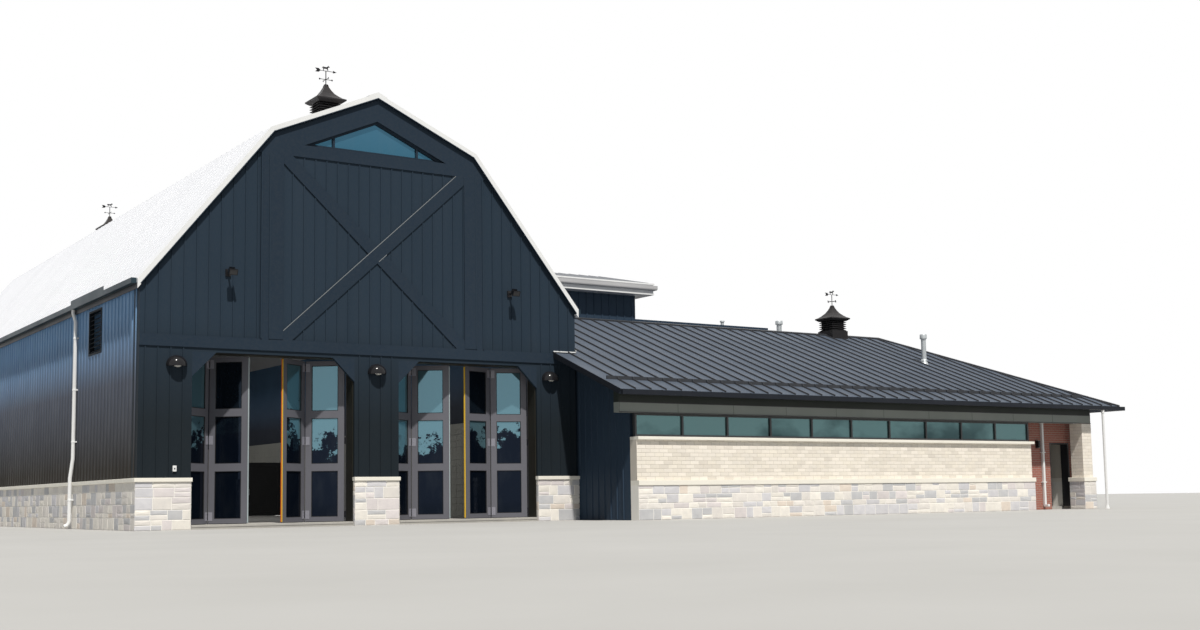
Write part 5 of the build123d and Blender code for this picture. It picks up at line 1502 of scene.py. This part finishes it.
class STATION_OT_trims(bpy.types.Operator):
    """Dark strips under the hall's rakes as a painted shadow line, near-black fascias under the hall's eaves
    that are partly painted shade, the wing's rake fascia, painted highlight strips on the braces' edges, drips
    and joints of the frieze, and gutter straps
    """
    bl_idname = "station.trims"
    bl_label = "Edge boards and straps"

    def execute(self, context):
        knee = Vector((-math.cos(LOWER_LEAN) - math.cos(UPPER_LEAN), 0,
                       math.sin(LOWER_LEAN) + math.sin(UPPER_LEAN)))
        foot, lap = -ROOF_THICK - 0.012, 0.05
        rakes = []
        # Dark strips on each rake board's lower edge and under it: a painted shadow line below the rakes.
        for face, way in ((FRONT - 0.10, -1), (REAR + 0.10, 1)):
            y0, y1 = reach(face, -way * 0.002, way * 0.008)
            y2, y3 = reach(face, way * 0.008, -way * 0.098)
            for side in (-1, 1):
                for x, z, lean, run, at_knee in ((EAVE_X, EAVE_Z, LOWER_LEAN, LOWER_RUN, 1),
                                                 (KNEE_X, KNEE_Z, UPPER_LEAN, UPPER_RUN, -1)):
                    strip = join([block("rake_shadow_line", (-lap, y0, foot), (run + lap, y1, -ROOF_THICK + 0.030)),
                                  block("rake_shadow_underside", (-lap, y2, foot), (run + lap, y3, -ROOF_THICK + 0.004))],
                                 "rake_shadow_line")
                    up = (-side * math.cos(lean), 0, math.sin(lean))
                    out = (side * math.sin(lean), 0, math.cos(lean))
                    place(strip, axes_at((side * x, 0, z), up, BACKWARD, out))
                    mitre = (at_knee * side * knee.x, 0, at_knee * knee.z)
                    cut(strip, (side * KNEE_X, 0, KNEE_Z), mitre)
                    if at_knee < 0:
                        cut(strip, (0, 0, RIDGE_Z), (-side, 0, 0))
                    else:
                        cut(strip, (side * EAVE_X, 0, 0), (side, 0, 0))
                    rakes.append(strip)
        done(join(rakes, "rake_shadow_trims"), "trim")
        # Near-black fascia strips under the hall's gutters: dark metal, made darker still as painted shade under
        # the gutters.
        low, high = 5.752, 5.896
        fascias = [soft("fascia", (x0, y0, low), (x1, REAR + lap, high), 0.003)
                   for x0, x1, y0 in ((-EAVE_X - 0.014, -EAVE_X + 0.004, FRONT - lap),
                                      (EAVE_X - 0.004, EAVE_X + 0.014, WING_REAR + lap))]
        done(join(fascias, "hall_eave_fascias"), "wing_gutter")
        # Thin pale strips along the braces' upper edges: a painted highlight where the sun glints on those
        # edges.
        along = Vector((5.2, 0, BEAM_Z - BAND_Z)).normalized()
        upward = Vector((-along.z, 0, along.x))
        start = Vector((-2.6, 0, BAND_Z))
        edges = []
        for face, way in TRIM_FACES:
            y0, y1 = reach(face, -way * 0.003, way * 0.006)
            for first, last, side in ((0.16, 6.86, 1), (3.44, 3.74, -1)):
                strip = block("edge", (0, y0, -0.010), (last - first, y1, 0.010))
                origin = start + upward * (0.165 * side) + along * first
                edges.append(place(strip, axes_at(origin, along, BACKWARD, upward)))
        done(join(edges, "brace_painted_highlights"), "lit_edge")
        depth = FRONT - WING_EAVE[0]
        fascia = block("wing_rake_fascia", (-0.016, -0.02, -0.145),
                       (0.002, math.hypot(depth, depth * math.tan(WING_LEAN)), 0.012))
        place(fascia, slope_frame((5.45, *WING_EAVE), RIGHT, FRONT_UP))
        done(soften(fascia, 0.003), "wing_gutter")
        left, face, low, high, thick, panel = 5.65, FRIEZE_FACE, 2.892, 3.138, 0.020, 1.95
        drips = [soft("drip", (left, face - 0.014, high), (WING_END, face + 0.002, high + thick), 0.002),
                 soft("drip", (left, face - 0.018, low - thick), (WING_END + 0.002, face + 0.002, low), 0.002)]
        done(join(drips, "frieze_drips"), "window_frame")
        joint = block("joint", (left + 0.01, face - 0.004, low), (left + 0.018, face + 0.001, high))
        array(taper(joint, FORWARD, (0.5, 1, 1)), 11, (panel, 0, 0))
        done(joint, "window_frame")
        eave = WING_EAVE[0]
        strap = soft("wing_gutter_straps", (5.70, eave - 0.142, 3.442), (5.728, eave + 0.01, 3.464), 0.004)
        done(array(strap, 20, (2 * SEAM_STEP, 0, 0)), "wing_gutter")
        return {"FINISHED"}


class STATION_OT_small_parts(bpy.types.Operator):
    """Switch box on the left pier, and the clamps of the snow guard"""
    bl_idname = "station.small_parts"
    bl_label = "Small fittings"

    def execute(self, context):
        x, z, proud = -5.300, 1.465, 0.045
        box = soft("switch_box", (x - 0.045, FRONT - proud, z - 0.07), (x + 0.045, FRONT - 0.001, z + 0.07),
                   0.005)
        done(box, "white_trim")
        done(head("switch_key", (x, FRONT - proud, z), 0.020, 0.012), "black_metal")
        clamp = taper(block("clamp", (-0.022, 0.0, -0.002), (0.022, 0.14, 0.085)), UP, (0.8, 0.25, 1))
        first = steps_between(5.70, 6.30, SEAM_STEP, SEAM_PHASE)[0]
        shift(clamp, (first, (-17.307 - WING_EAVE[0]) / WING_COS - 0.07, 0))
        array(clamp, 38, (SEAM_STEP, 0, 0))
        place(clamp, slope_frame(FRONT_EAVE, RIGHT, FRONT_UP))
        clamp.name = "snow_guard_clamps"
        done(clamp, "grey_cap")
        return {"FINISHED"}


STEPS = (STATION_OT_stage, STATION_OT_finishes, STATION_OT_battens, STATION_OT_ribs, STATION_OT_hall_seams,
         STATION_OT_wing_seams, STATION_OT_wing_caps, STATION_OT_stones, STATION_OT_caps,
         STATION_OT_bricks, STATION_OT_door_fittings, STATION_OT_bay_linings, STATION_OT_interior,
         STATION_OT_gable_boards, STATION_OT_lamps, STATION_OT_downspouts, STATION_OT_vents,
         STATION_OT_block_roof, STATION_OT_trims, STATION_OT_small_parts)


class STATION_PT_panel(bpy.types.Panel):
    """Buttons for each step, in order"""
    bl_idname = "STATION_PT_panel"
    bl_label = "Fire Station"
    bl_space_type = "VIEW_3D"
    bl_region_type = "UI"
    bl_category = "Station"

    def draw(self, context):
        for key in StationSettings.__annotations__:
            self.layout.prop(context.scene.station, key)
        for step in STEPS:
            self.layout.operator(step.bl_idname)


CLASSES = (StationSettings, *STEPS, STATION_PT_panel)


def register():
    for made in CLASSES:
        bpy.utils.register_class(made)
    bpy.types.Scene.station = bpy.props.PointerProperty(type=StationSettings)


def unregister():
    del bpy.types.Scene.station
    for made in reversed(CLASSES):
        bpy.utils.unregister_class(made)


def main():
    register()
    for step in STEPS:
        group, name = step.bl_idname.split(".")
        result = getattr(getattr(bpy.ops, group), name)()
        if result != {"FINISHED"}:
            raise RuntimeError(f"{step.bl_idname} did not finish")


if __name__ == "__main__":
    main()
